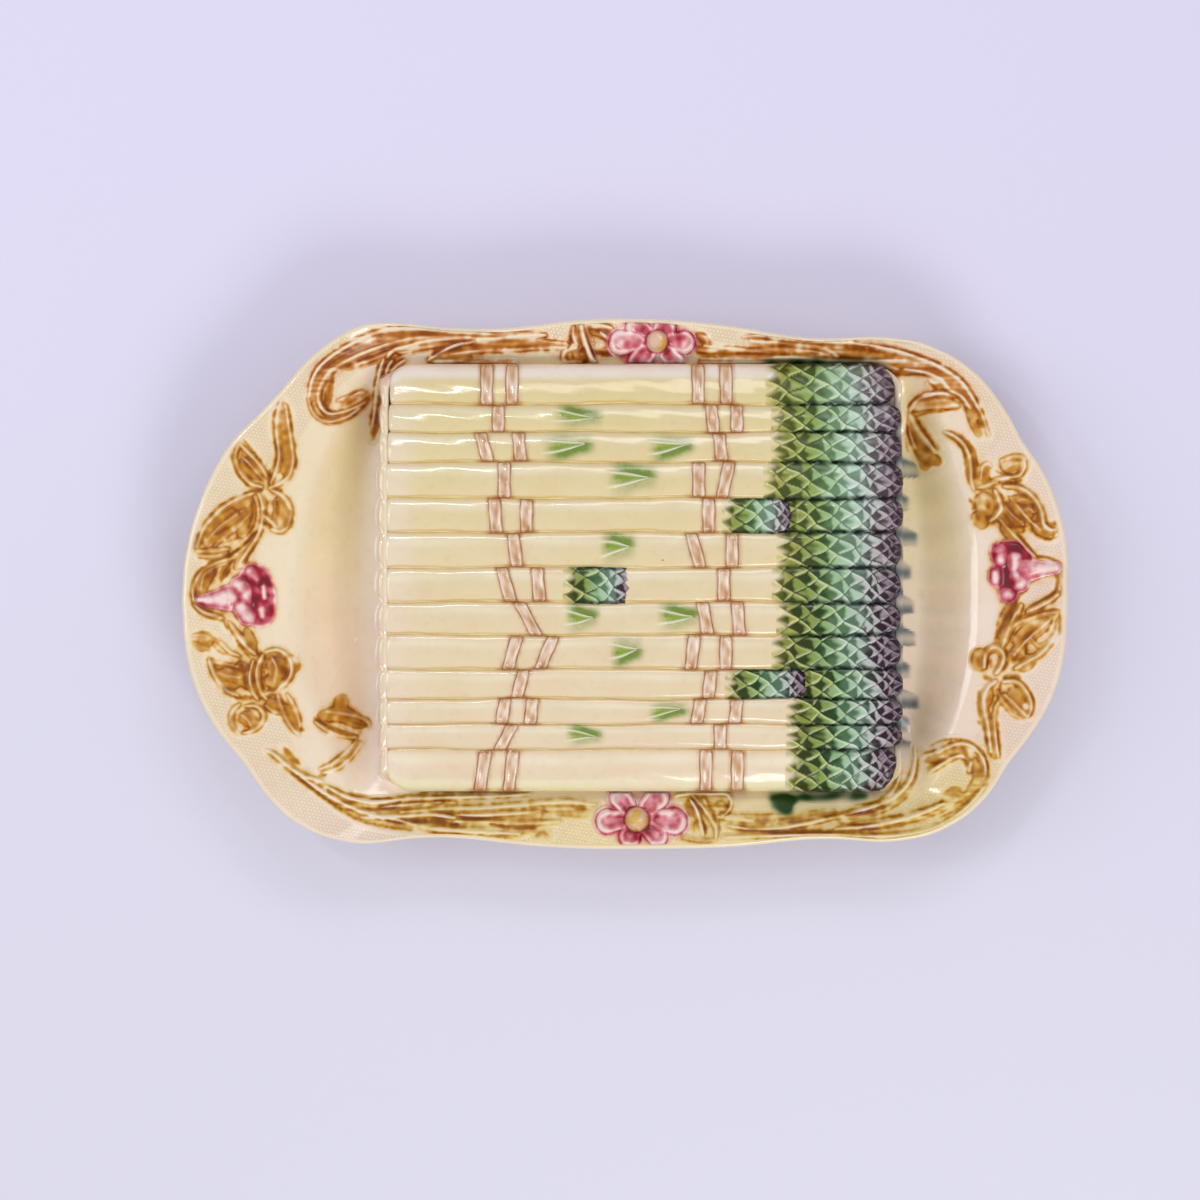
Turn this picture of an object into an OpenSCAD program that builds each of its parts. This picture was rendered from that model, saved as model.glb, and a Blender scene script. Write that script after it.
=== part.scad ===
// Asparagus plate: a lobed majolica platter with a raised bed of thirteen spears.
// The origin is at the middle of its footprint, on the table. X runs along the plate,
// with the heads of the spears at +X, and Y runs to the back edge.

/* [Plate] */
// Length over the lobed rim
plate_l = 380; // [365:1:400]
// Width over the lobed rim
plate_w = 228; // [220:1:240]
// Height of the rim above the table
rim_h = 36; // [33:0.5:40]
// Height at which the rim turns down into the wells
rim_inner_h = 30; // [26:0.5:31]
// Thickness of the earthenware wall
wall_t = 5.5; // [4.5:0.25:6.5]

/* [Foot] */
// Height of the foot ring
foot_h = 3.5; // [2.5:0.25:5]
// Width of the wall under the edge of the bed
skirt_t = 8; // [6:0.25:8.5]
// Width of the foot ring
foot_w = 5; // [4:0.5:6]

/* [Bed] */
// Length of the well and the rim at each end of the bed
end_l = 79.5; // [76:0.5:88]
// Width of the rim along each long side of the bed
side_w = 22; // [20:0.5:26]
// Height of the middle of the bed above the table
bed_crown_h = 38; // [34:0.5:42]
// Height of the groove between the bed and the long rims
groove_h = 24; // [20:0.5:27]
// Radius of the corners of the bed
bed_corner_r = 12; // [9:0.5:14]
// How far the bed lies toward the heads
bed_shift_x = 7.5; // [4:0.5:10]
// How far the bed lies toward the back
bed_shift_y = 2.8; // [0:0.2:4]

/* [Spears] */
// Height of a spear above the bed
spear_h = 6.5; // [5:0.25:8]
// Height of the upright edge of a spear beside its neighbour
spear_edge_h = 2.4; // [1.8:0.1:3]
// How far the scales of a head stand out
scale_h = 0.9; // [0.5:0.1:1.3]
// Gap between neighbouring spears
row_gap = 0.3; // [0.2:0.05:0.5]
// Width of a tie along the spear
tie_w = 5.8; // [4.5:0.1:7]
// Thickness of a tie
tie_t = 1.2; // [0.8:0.1:1.6]
// Thickness of a bract
bract_t = 0.6; // [0.4:0.1:1]

/* [Relief on the rim] */
// Width of a stem at its widest
stem_w = 6.4; // [5:0.1:7]
// Height of a stem along its middle
stem_h = 2.4; // [1.5:0.1:3.2]
// Height of a leaf along its middle
leaf_h = 2.2; // [1.5:0.1:3]
// Height of the edge of a leaf, a stem or a bow
relief_edge_h = 0.9; // [0.6:0.1:1.4]
// Height of the raised edge of a petal
petal_edge_h = 3; // [2:0.1:4]
// Height of the hollow along the middle of a petal
petal_h = 1.8; // [1.2:0.1:2.4]
// Height of the cup of a flower
cup_h = 4; // [3:0.1:5]

/* [Hidden] */
// Clearance under each piece that seats on the shell
seat_gap = 0.25;
two_digits = function (n) n < 10 ? str("0", n) : str(n);
ROWS = [for (k = [1:13]) two_digits(k)];
SHORT_ROWS = [5, 7, 10];

cream = [0.93, 0.88, 0.72];
stalk_cream = [0.95, 0.91, 0.76];
head_green = [0.36, 0.52, 0.30];
tie_pink = [0.80, 0.60, 0.50];
leaf_green = [0.55, 0.66, 0.38];
petal_pink = [0.80, 0.40, 0.47];
ochre = [0.72, 0.50, 0.20];

half_l = plate_l / 2;
half_w = plate_w / 2;
bed_l = plate_l - 2 * end_l;
bed_w = plate_w - 2 * side_w;
bed_half = [bed_l, bed_w] / 2;
bed_shift = [bed_shift_x, bed_shift_y];
floor_h = foot_h + wall_t;
lip_r = wall_t / 2;

// Outline of the rim: an angle, and the reach of the rim there as a share of the
// ellipse that has the plate's length and width
rim_shares = [
    [0, 1], [8, 1.009], [16, 1.021], [24, 1.037], [31, 1.047], [38, 1.086], [44, 1.121],
    [49, 1.137], [54, 1.134], [59, 1.093], [63, 1.037], [67, 1.012], [71, 1.004], [84, 1.003],
    [96, 1.004], [102, 0.998], [106, 1.002], [109, 1.02], [113, 1.049], [117, 1.107],
    [121, 1.15], [126, 1.134], [131, 1.106], [136, 1.07], [142, 1.047], [149, 1.04],
    [156, 1.022], [164, 1.007], [172, 1], [180, 1], [188, 1.009], [196, 1.03],
    [204, 1.055], [211, 1.075], [218, 1.093], [224, 1.135], [229, 1.165], [234, 1.175],
    [239, 1.15], [243, 1.075], [247, 1.037], [251, 1.02], [258, 1.01], [264, 1.004],
    [270, 1], [276, 1.004], [282, 1.018], [289, 1.033], [293, 1.046], [297, 1.078],
    [301, 1.14], [306, 1.175], [311, 1.17], [316, 1.144], [322, 1.098], [329, 1.077],
    [336, 1.057], [344, 1.031], [352, 1.009], [360, 1]];
// Powers that shape the arch of the bed: a higher one makes the crown flatter, and a lower
// second one makes the sides steeper
crown_power = 2.2;
arch_power = 0.67;
// Rings of the upper side, as shares of the way from the bed to the lip
ring_shares = [0.03, 0.14, 0.22, 0.3, 0.38, 0.45, 0.52, 0.75, 1];
// Where the floor of a well ends and where its wall meets the rim
well_floor_share = 0.14;
well_wall_share = 0.52;
// How much of an end of the bed opens into a well, from its middle
end_share = 0.6;
// Where the outer side of the skirt leaves the foot, along the long sides
skirt_share = 0.14;
// Where the relief on the rim keeps within
relief_from_share = 0.07;
relief_to_share = 0.97;
lip_angles = [35, -35];
// Rings of the underside
under_shares = [1, 0.45, 0.3, 0.14];

// Edges of the thirteen rows across the bed, from the back
row_edge_shares = [0, 0.098, 0.163, 0.233, 0.317, 0.396, 0.478, 0.558, 0.634, 0.713,
                   0.782, 0.841, 0.9, 1];
// Butt of each row and start of its main head, along the bed from the left
butt_shares = [0.025, 0.014, 0.01, 0.004, 0.007, 0.004, 0.007, 0.003, 0.006, 0.004,
               0.006, 0.004, 0.006];
head_shares = [0.738, 0.748, 0.748, 0.732, 0.796, 0.757, 0.748, 0.757, 0.748, 0.825,
               0.777, 0.777, 0.777];
tip_shares = [0.988, 0.998, 0.998, 1, 1, 0.997, 0.995, 0.995, 0.995, 1, 1, 1, 0.99];
// Start and end of the head of each short spear
short_head_shares = [[0.652, 0.792], [0.346, 0.489], [0.658, 0.821]];
// Ties: the row, where the middle of the tie lies along the bed, and how far the
// tie's front end lies to the right of its back end, in widths of a tie
tie_left_shares = [
    [1, 0.198, 0], [1, 0.247, 0], [2, 0.221, 0], [3, 0.194, 0.6], [3, 0.262, 0.2],
    [4, 0.233, 0], [5, 0.216, 0.2], [5, 0.276, 0], [6, 0.254, 0.3], [7, 0.237, 0.7],
    [7, 0.299, 0.2], [8, 0.279, 1.3], [9, 0.249, -0.7], [9, 0.315, -1], [10, 0.264, -0.5],
    [11, 0.231, -0.3], [11, 0.285, -0.2], [12, 0.236, -1], [13, 0.19, -0.5], [13, 0.245, -0.4]];
tie_right_shares = [
    [1, 0.608, 0], [1, 0.662, 0], [2, 0.635, 0.2], [2, 0.682, 0], [3, 0.65, 0.2],
    [4, 0.608, 0], [4, 0.66, -0.6], [5, 0.627, 0], [6, 0.602, 0.7], [6, 0.672, 0],
    [7, 0.656, 0], [8, 0.62, 0.4], [8, 0.684, 0.2], [9, 0.596, -0.3], [9, 0.66, 0],
    [10, 0.629, -0.2], [11, 0.608, -0.3], [11, 0.68, -0.2], [12, 0.65, 0], [13, 0.623, 0],
    [13, 0.684, 0]];
// Bracts: the row, and the start and end along the bed
bract_shares = [
    [2, 0.318, 0.404], [3, 0.297, 0.388], [3, 0.501, 0.584], [4, 0.421, 0.511],
    [6, 0.41, 0.474], [8, 0.342, 0.404], [8, 0.518, 0.596], [9, 0.429, 0.489],
    [11, 0.501, 0.573], [12, 0.342, 0.41]];
// Width of a bract at the stations along it, as a share of half its row
bract_width_shares = [0.05, 0.45, 0.05];

// Along a head: half steps of the scales and where the rounded nose begins
scale_steps = 12;
short_scale_steps = 8;
nose_share = 0.78;
nose_end_share = 0.35;
// Along a stalk: how far its rounded ends reach, and its size at an end
stalk_end_l = 2.5;
stalk_end_share = 0.72;
// A stalk is left out between two heads that lie closer than this
shortest_stalk_l = 5;
// Steps around the upper side of a spear
side_steps = 6;
// Sides of the circle that rounds the corners of the foot ring
corner_facets = 48;
// Straight stretches of the long edges of the bed
edge_steps = 12;

// Middle and half size of the plate in the photograph, and of the bed, with the radius of its
// corners and the width of the rounded lip
photo_middle_px = [625, 584];
photo_half_px = [443, 266];
photo_bed_half_px = [257.6, 214.7];
photo_bed_shift_px = [17.5, 6.5];
photo_corner_px = 28;
photo_lip_px = 5.2;
photo_scale = half_l / photo_half_px.x;

// Courses of the stems on the photograph
whip_back_left_px = [[470, 333], [430, 333], [400, 336], [375, 343], [350, 354], [332, 366],
                     [320, 380], [315, 396], [319, 409], [331, 416], [345, 413], [356, 403]];
inner_back_left_px = [[416, 349], [401, 357], [390, 371], [384, 389], [380, 408], [376, 424]];
band_back_right_px = [[858, 352], [900, 357], [925, 366], [945, 380], [962, 397], [975, 416],
                      [985, 437]];
strand_back_right_px = [[704, 345], [760, 349], [800, 351], [844, 354]];
low_strand_back_right_px = [[704, 358], [760, 359], [800, 361], [844, 366]];
high_strand_back_right_px = [[742, 336], [790, 340], [830, 342]];
whip_front_left_px = [[268, 752], [285, 764], [303, 775], [335, 788], [370, 801], [410, 804],
                      [470, 799], [530, 793]];
edge_front_left_px = [[294, 778], [312, 791], [332, 804], [352, 815], [380, 822], [413, 827]];
branch_front_left_px = [[310, 766], [323, 766], [336, 761], [346, 752]];
streak_front_left_px = [[425, 816], [480, 810], [540, 804], [585, 801]];
low_streak_front_left_px = [[435, 825], [470, 831], [520, 837]];
stem_front_right_px = [[740, 829], [790, 827], [820, 820], [860, 812], [885, 803], [903, 790],
                       [912, 776], [917, 760], [919, 745]];
hook_front_right_px = [[800, 838], [840, 836], [880, 830], [915, 822], [940, 811], [959, 799],
                       [971, 785], [976, 770], [972, 757], [961, 750], [949, 752], [940, 760]];
stem_left_upper_px = [[262, 528], [256, 540], [248, 552], [240, 564]];
curl_left_upper_px = [[227, 562], [214, 569], [202, 579], [194, 592], [193, 604], [201, 614],
                      [213, 618]];
stem_left_lower_px = [[228, 626], [238, 638], [245, 649], [249, 659]];
curl_left_lower_px = [[192, 638], [202, 633], [213, 636], [222, 643]];
tail_left_lower_px = [[280, 699], [286, 711], [291, 722], [299, 734]];
tendril_right_upper_px = [[943, 431], [955, 435], [965, 443], [971, 456], [973, 470], [970, 482]];
stem_right_upper_px = [[1003, 525], [1014, 537], [1027, 548], [1039, 556]];
curl_right_upper_px = [[1046, 557], [1056, 567], [1060, 580], [1057, 592], [1049, 601], [1038, 607],
                       [1029, 612]];
stem_right_lower_px = [[1018, 620], [1011, 630], [1004, 640]];
tail_right_lower_px = [[990, 683], [986, 697], [986, 712], [990, 728], [993, 744], [993, 760]];
loop_back_px = [[577, 343], [567, 347], [563, 355], [569, 363], [583, 366]];
ridge_back_px = [[584, 324], [590, 336], [593, 349], [597, 361]];
loop_front_px = [[690, 795], [705, 792], [721, 793], [730, 801], [727, 812]];
ridge_front_px = [[694, 804], [701, 815], [708, 827], [712, 838]];
low_ridge_front_px = [[706, 803], [714, 814], [720, 827]];

// Leaves on the photograph: pairs of points on their two edges, from one end to the other
leaf_back_left_px = [
    [[430, 363], [428, 359]], [[452, 363], [445, 350]], [[480, 356], [470, 344]],
    [[505, 351], [500, 341]], [[530, 348], [530, 338]], [[551, 346], [551, 340]]];
fan_back_right_px = [
    [[942, 398], [944, 407]], [[926, 396], [929, 407]], [[914, 403], [924, 413]],
    [[911, 420], [926, 422]], [[912, 440], [934, 437]], [[919, 457], [938, 452]],
    [[926, 468], [933, 465]]];
bud_front_left_px = [[[356, 741], [364, 735]], [[338, 728], [356, 713]], [[317, 719], [338, 702]]];
leaf_front_right_px = [
    [[737, 820], [736, 813]], [[760, 819], [760, 809]], [[790, 817], [790, 807]],
    [[822, 812], [822, 806]], [[850, 808], [850, 805]]];
blade_left_upper_px = [
    [[279, 399], [286, 399]], [[274, 415], [290, 415]], [[273, 435], [292, 435]],
    [[274, 455], [293, 455]], [[269, 478], [286, 478]]];
bud_left_upper_px = [[[234, 444], [240, 441]], [[237, 461], [252, 453]], [[250, 480], [262, 474]]];
leaf_left_upper_px = [
    [[255, 492], [262, 502]], [[238, 498], [256, 517]], [[220, 509], [246, 534]],
    [[206, 524], [229, 547]], [[195, 545], [206, 554]]];
leaf_left_lower_px = [
    [[204, 651], [213, 647]], [[210, 664], [229, 654]], [[217, 678], [240, 667]],
    [[228, 690], [248, 682]], [[240, 698], [251, 692]]];
bud_left_lower_px = [[[255, 702], [262, 711]], [[243, 707], [256, 724]], [[233, 723], [242, 734]]];
bud_right_upper_px = [[[1021, 454], [1027, 460]], [[1008, 457], [1016, 470]], [[999, 466], [1005, 476]]];
leaf_right_upper_px = [
    [[1004, 485], [1004, 497]], [[1020, 488], [1009, 512]], [[1034, 499], [1023, 526]],
    [[1044, 513], [1039, 536]], [[1058, 520], [1055, 535]]];
leaf_right_lower_px = [
    [[1009, 662], [1015, 671]], [[1012, 645], [1028, 664]], [[1023, 629], [1042, 655]],
    [[1037, 619], [1053, 642]], [[1052, 612], [1062, 624]]];
bud_right_lower_px = [
    [[1006, 680], [999, 690]], [[1020, 685], [1006, 704]], [[1030, 700], [1018, 715]],
    [[1031, 714], [1026, 719]]];
// Round leaves: the middle, and a point on the edge to the right of it and behind it
round_left_upper_px = [[280, 511], [293, 494]];
round_left_lower_px = [[273, 671], [289, 652]];
round_right_upper_px = [[985, 511], [998, 493]];
loop_right_upper_px = [[986, 469], [992, 460]];
ring_right_lower_px = [[992, 661], [1003, 646]];

// Flowers: the middle of the cup and its radius, then the tip and the width of each petal
flower_back_px = [[657, 342, 10], [617, 325, 15], [660, 320, 24], [696, 337, 20], [681, 361, 13],
                  [642, 361, 13], [605, 349, 13]];
flower_front_px = [[638, 819, 10], [612, 793, 22], [665, 793, 22], [690, 822, 22], [658, 846, 22],
                   [620, 845, 18], [596, 823, 18]];
flower_left_px = [[254, 597, 7], [239, 580, 13], [257, 566, 16], [273, 584, 16], [271, 611, 16],
                  [246, 626, 15]];
flower_right_px = [[1008, 573, 7], [1021, 553, 14], [1001, 543, 14], [987, 563, 15], [991, 591, 15],
                   [1012, 603, 13]];
trumpet_left_px = [[[202, 598], [202, 602]], [[216, 595], [216, 605]], [[235, 593], [235, 603]]];
trumpet_right_px = [[[1050, 569], [1050, 573]], [[1040, 567], [1040, 576]], [[1026, 568], [1026, 579]]];
// Stems: width at the start, the middle and the end, as shares of a stem's widest
fine_shares = [0.25, 0.4, 0.3];
slim_shares = [0.4, 0.5, 0.35];
curl_shares = [0.3, 0.5, 0.4];
whip_shares = [0.3, 0.95, 0.7];
inner_shares = [0.4, 0.75, 0.4];
band_shares = [0.9, 1.2, 0.5];
long_shares = [0.25, 0.7, 0.3];
hook_shares = [0.3, 0.75, 0.45];
// Petals: width at the stations along a petal, and the gap between it and the cup
petal_width_shares = [0.4, 0.75, 1, 0.5];
petal_gap = 0.4;
// Upper size of a cup and of a round leaf
cup_top_share = 0.75;
round_top_share = 0.8;
// Clearance under ties and bracts, and their height at the ends as a share
trim_gap = 0.1;
tie_end_share = 0.6;
bract_edge_share = 0.4;
// How far a scale leans out to the side, as a share of how far it stands out
scale_side_share = 0.6;
round_steps = 10;

// Small helpers
function mix(p, q, u) = p + (q - p) * u;
function smooth(u) = let (c = min(1, max(0, u))) c * c * (3 - 2 * c);
function middle(pair) = (pair[0] + pair[1]) / 2;

// Lines along the bed: the rows' edges, where its surface changes slope, the rows' middles,
// and in the two outer rows the lines that their round section follows
function row_y(k) = bed_w * (0.5 - row_edge_shares[k]);
function round_share(j) = (1 - cos(180 * j / side_steps)) / 2;
front_lines = [for (j = [0:side_steps - 1]) mix(row_y(13), row_y(12), round_share(j))];
middle_lines = [for (k = [12:-1:2]) each [row_y(k), middle([row_y(k), row_y(k - 1)])]];
back_lines = [for (j = [0:side_steps]) mix(row_y(1), row_y(0), round_share(j))];
bed_lines = concat(front_lines, middle_lines, back_lines);

// Height of the bed: an arch across it, straight along it
function arch_h(y) =
    let (fall = 1 - pow(abs(y) / bed_half.y, crown_power))
    mix(groove_h, bed_crown_h, pow(max(0, fall), arch_power));
arch_lines = concat(front_lines, [for (k = [12:-1:2]) row_y(k)], back_lines);
arch_table = [for (y = arch_lines) [y, arch_h(y)]];
function bed_h(y) = lookup(y, arch_table);

// How far a corner of the bed is cut back at a distance from the middle
function cut_back(from_middle, half) =
    let (into = max(0, from_middle - (half - bed_corner_r)))
    bed_corner_r - sqrt(max(0, bed_corner_r * bed_corner_r - into * into));
function edge_x(y) = bed_half.x - cut_back(abs(y), bed_half.y);
function edge_y(x) = bed_half.y - cut_back(abs(x), bed_half.x);

// Edge of the bed as a loop, from the front right corner round by the back
straight_x = bed_half.x - bed_corner_r;
bed_right = [for (y = bed_lines) [edge_x(y), y]];
bed_back = [for (i = [1:edge_steps - 1]) [straight_x * (1 - 2 * i / edge_steps), bed_half.y]];
bed_left = [for (i = [len(bed_lines) - 1:-1:0]) [-edge_x(bed_lines[i]), bed_lines[i]]];
bed_front = [for (p = bed_back) -p];
edge_loop = concat(bed_right, bed_back, bed_left, bed_front);
loop_n = len(edge_loop);

// The rim lies along rays from the middle of the plate through the edge of the bed
full_turn = 360;
function ray_angle(p, half) = (atan2(p.y / half.y, p.x / half.x) + full_turn) % full_turn;
function rim_point(p, half) =
    p * lookup(ray_angle(p, half), rim_shares) / norm([p.x / half.x, p.y / half.y]);
function shortened(p, by) = p * (1 - by / norm(p));
function lip_middle(p) = shortened(rim_point(p, [half_l, half_w]), lip_r * cos(lip_angles[0]));

// Factor that takes a point along its ray to an oblong with rounded corners
function reach_to(p, half, shift, corner_r) =
    let (corner = [(p.x >= 0 ? 1 : -1) * (half.x - corner_r) + shift.x,
                   (p.y >= 0 ? 1 : -1) * (half.y - corner_r) + shift.y],
         side_x = ((p.x >= 0 ? 1 : -1) * half.x + shift.x) / p.x,
         side_y = ((p.y >= 0 ? 1 : -1) * half.y + shift.y) / p.y,
         straight = min(side_x, side_y),
         past = [abs(p.x * straight) - abs(corner.x), abs(p.y * straight) - abs(corner.y)],
         along = p * corner,
         len2 = p * p)
    past.x > 0 && past.y > 0
        ? (along + sqrt(along * along - len2 * (corner * corner - corner_r * corner_r))) / len2
        : straight;
function bed_reach(p) = reach_to(p, bed_half, bed_shift, bed_corner_r);

// Height of the upper side at a share of the way from the bed to the lip: along a ray that
// leaves an end of the bed it crosses a well, and along one that leaves a long side it rises
// evenly from the groove
function side_part(edge) =
    smooth((abs(edge.y - bed_shift.y) / bed_half.y - end_share) / (1 - end_share));
function well_h(t) = floor_h
    + (rim_inner_h - floor_h) * smooth((t - well_floor_share) / (well_wall_share - well_floor_share))
    + (rim_h - rim_inner_h) * max(0, t - well_wall_share) / (1 - well_wall_share);
function top_h(edge, t) = mix(well_h(t), mix(groove_h, rim_h, t), side_part(edge));
function under_h(edge, t) =
    let (drop = mix(1, smooth((t - skirt_share) / (well_wall_share - skirt_share)), side_part(edge)))
    foot_h + (top_h(edge, t) - wall_t - foot_h) * drop;

// Height of the shell under a point of the rim
function share_at(p) =
    let (from = norm(p * bed_reach(p)), to = norm(lip_middle(p)))
    (norm(p) - from) / (to - from);
function shell_h(p) =
    let (edge = p * bed_reach(p))
    lookup(share_at(p), [for (t = ring_shares) [t, top_h(edge, t)]]);
function at_share(p, t) =
    mix(p * bed_reach(p), lip_middle(p), min(relief_to_share, max(relief_from_share, t)));
function on_rim(p) = at_share(p, share_at(p));
// A point of the photograph keeps its ray and its share of the way from the bed to the lip
function on_plate(px) =
    let (q = [px.x - photo_middle_px.x, photo_middle_px.y - px.y],
         from = norm(q * reach_to(q, photo_bed_half_px, photo_bed_shift_px, photo_corner_px)),
         to = norm(shortened(rim_point(q, photo_half_px), photo_lip_px)))
    at_share([q.x / photo_half_px.x * half_l, q.y / photo_half_px.y * half_w],
             (norm(q) - from) / (to - from));
function seated(p, h = 0) = [p.x, p.y, shell_h(p) + seat_gap + h];

// Faces of a form that runs through rings of points, each with an upper chain and then a
// lower chain that runs back; the diagonals alternate, which draws the scales as diamonds
function lower_at(j, upper, lower) = upper + lower - 1 - round(j * (lower - 1) / (upper - 1));
function end_faces(upper, lower) = [
    for (j = [0:upper - 2]) let (here = lower_at(j, upper, lower), next = lower_at(j + 1, upper, lower))
        each here == next ? [[j, j + 1, here]] : [[j, j + 1, here], [j + 1, next, here]]];
function run_faces(rings, upper, lower) =
    let (n = upper + lower)
    concat(
        [for (i = [0:rings - 2]) for (j = [0:n - 1])
            let (a = i * n + j, b = a + n, c = (i + 1) * n + (j + 1) % n, d = c - n)
            each (i + j) % 2 == 1 ? [[a, d, b], [d, c, b]] : [[a, d, c], [a, c, b]]],
        [for (f = end_faces(upper, lower)) [f[2], f[1], f[0]]],
        [for (f = end_faces(upper, lower)) [for (v = f) v + (rings - 1) * n]]);
function run(rings, upper, lower) =
    [[for (ring = rings) each ring], run_faces(len(rings), upper, lower)];

// Several forms in one list of points and faces
function joined(forms) =
    let (starts = [for (i = 0, s = 0; i < len(forms); s = s + len(forms[i][0]), i = i + 1) s])
    [[for (f = forms) each f[0]],
     [for (i = [0:len(forms) - 1]) for (f = forms[i][1]) [for (v = f) v + starts[i]]]];
module solids(forms) {
    all = joined(forms);
    polyhedron(points = all[0], faces = all[1], convexity = 6);
}

function turned(s) = concat([s[0]], [for (i = [len(s) - 1:-1:1]) s[i]]);

// Shell: the bed, rings out to the lip, round the lip and back below to the foot, then up
// into the hollow under the bed
module platter_body() {
    edge = [for (p = edge_loop) p + bed_shift];
    hollow = [for (p = edge_loop)
        [p.x * (1 - skirt_t / bed_half.x), p.y * (1 - skirt_t / bed_half.y)] + bed_shift];
    rings = concat(
        [[for (i = [0:loop_n - 1]) [edge[i].x, edge[i].y, bed_h(edge_loop[i].y)]]],
        [for (t = ring_shares) [for (p = edge)
            let (q = mix(p, lip_middle(p), t)) [q.x, q.y, top_h(p, t)]]],
        [for (a = lip_angles) [for (p = edge)
            let (m = lip_middle(p), q = m * (1 + lip_r * cos(a) / norm(m)))
            [q.x, q.y, rim_h - lip_r + lip_r * sin(a)]]],
        [for (t = under_shares) [for (p = edge)
            let (q = mix(p, lip_middle(p), t)) [q.x, q.y, under_h(p, t)]]],
        [[for (p = edge) [p.x, p.y, foot_h]], [for (p = hollow) [p.x, p.y, foot_h]]],
        [[for (i = [0:loop_n - 1]) [hollow[i].x, hollow[i].y, bed_h(edge_loop[i].y) - wall_t]]]);
    n = loop_n;
    lines = len(bed_lines);
    // Each strip between two lines takes in the straight back or front edge where it has one
    function left_of(j) = lines + edge_steps - 1 + (lines - 1 - j);
    function bed_strip(j) = j == 0
        ? concat([1, left_of(1), left_of(0)], [for (i = [1:edge_steps - 1]) left_of(0) + i], [0])
        : j == lines - 2
        ? concat([j, j + 1], [for (i = [0:edge_steps - 1]) lines + i], [left_of(j)])
        : j < side_steps || j >= lines - 1 - side_steps
        ? [j, j + 1, left_of(j + 1), left_of(j)]
        : [j, j + 1, left_of(j + 1), left_of(j), left_of(j - 1), j - 1];
    // A row between the outer ones is flat across, so its two halves make one strip
    strips = [for (j = [0:lines - 2])
        if (j < side_steps || j >= lines - 1 - side_steps || (j - side_steps) % 2 == 1) bed_strip(j)];
    last = (len(rings) - 1) * n;
    color(cream)
    polyhedron(
        points = [for (ring = rings) each ring],
        faces = concat(
            [for (s = strips) turned(s)],
            [for (i = [0:len(rings) - 2]) for (j = [0:n - 1])
                let (a = i * n + j, b = a + n, c = (i + 1) * n + (j + 1) % n, d = c - n)
                each [[a, d, c], [a, c, b]]],
            [for (s = strips) [for (v = s) v + last]]),
        convexity = 6);
}

// Ring that the plate stands on, under the skirt
module rounded_plate(inset) {
    r = bed_corner_r - inset;
    size = [bed_l, bed_w] - 2 * [inset, inset];
    square([size.x - 2 * r, size.y], center = true);
    square([size.x, size.y - 2 * r], center = true);
    for (x = [-1, 1], y = [-1, 1])
        translate([x * (size.x / 2 - r), y * (size.y / 2 - r)]) circle(r, $fn = corner_facets);
}
module foot_ring() {
    color(cream)
    translate(bed_shift)
    linear_extrude(foot_h)
    difference() {
        rounded_plate(skirt_t - foot_w);
        rounded_plate(skirt_t);
    }
}

// Spears: rings across a row, round above and following the bed below
function bed_x(share) = bed_l * (share - 0.5);
function row_from(k, x) = (k == 13 ? -edge_y(x) : row_y(k)) + row_gap / 2;
function row_to(k, x) = (k == 1 ? edge_y(x) : row_y(k - 1)) - row_gap / 2;
function lower_points(k) = k == 1 || k == 13 ? side_steps + 1 : 2;
function spear_rise(j) = spear_edge_h + (spear_h - spear_edge_h) * sin(180 * j / side_steps);
function placed(x, y, z) = [x + bed_shift.x, y + bed_shift.y, z];
// grow is the size of the section as a share, and stand is 1 where point j is the peak of a scale
function spear_ring(k, x, grow, stand) =
    let (mid = (row_from(k, x) + row_to(k, x)) / 2, half = (row_to(k, x) - row_from(k, x)) / 2 * grow,
         lower = lower_points(k))
    concat(
        [for (j = [0:side_steps])
            let (a = 180 * j / side_steps, out = stand(j) * scale_h,
                 y = mid - (half + out * scale_side_share) * cos(a))
            placed(x + out, y, bed_h(y) + seat_gap + spear_rise(j) * grow + out * sin(a))],
        [for (j = [lower - 1:-1:0]) let (y = mid - half * cos(180 * j / (lower - 1)))
            placed(x, y, bed_h(y) + seat_gap)]);
function spear(k, stations, stand = function (i, j) 0) =
    run([for (i = [0:len(stations) - 1])
            spear_ring(k, stations[i][0], stations[i][1], function (j) stand(i, j))],
        side_steps + 1, lower_points(k));

// A stalk from its rounded butt, with more rings in the outer rows, which follow the corners
function stalk_run(k, from, to) =
    let (butt = [[from, stalk_end_share], [from + stalk_end_l / 2, (1 + stalk_end_share) / 2],
                 [from + stalk_end_l, 1]],
         corner = lower_points(k) > 2 ? [[from + bed_corner_r / 2, 1], [from + bed_corner_r, 1]] : [])
    spear(k, concat(butt, corner, [[to, 1]]));
module stalk(k) {
    short = search(k, SHORT_ROWS);
    start = bed_x(butt_shares[k - 1]);
    end = bed_x(head_shares[k - 1]) - row_gap;
    color(stalk_cream)
    if (short == [])
        solids([stalk_run(k, start, end)]);
    else {
        ends = short_head_shares[short[0]];
        rest = end - bed_x(ends[1]) > shortest_stalk_l;
        solids(concat(
            [stalk_run(k, start, bed_x(ends[0]) - row_gap)],
            rest ? [stalk_run(k, bed_x(ends[1]) + row_gap, end)] : []));
    }
}

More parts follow.
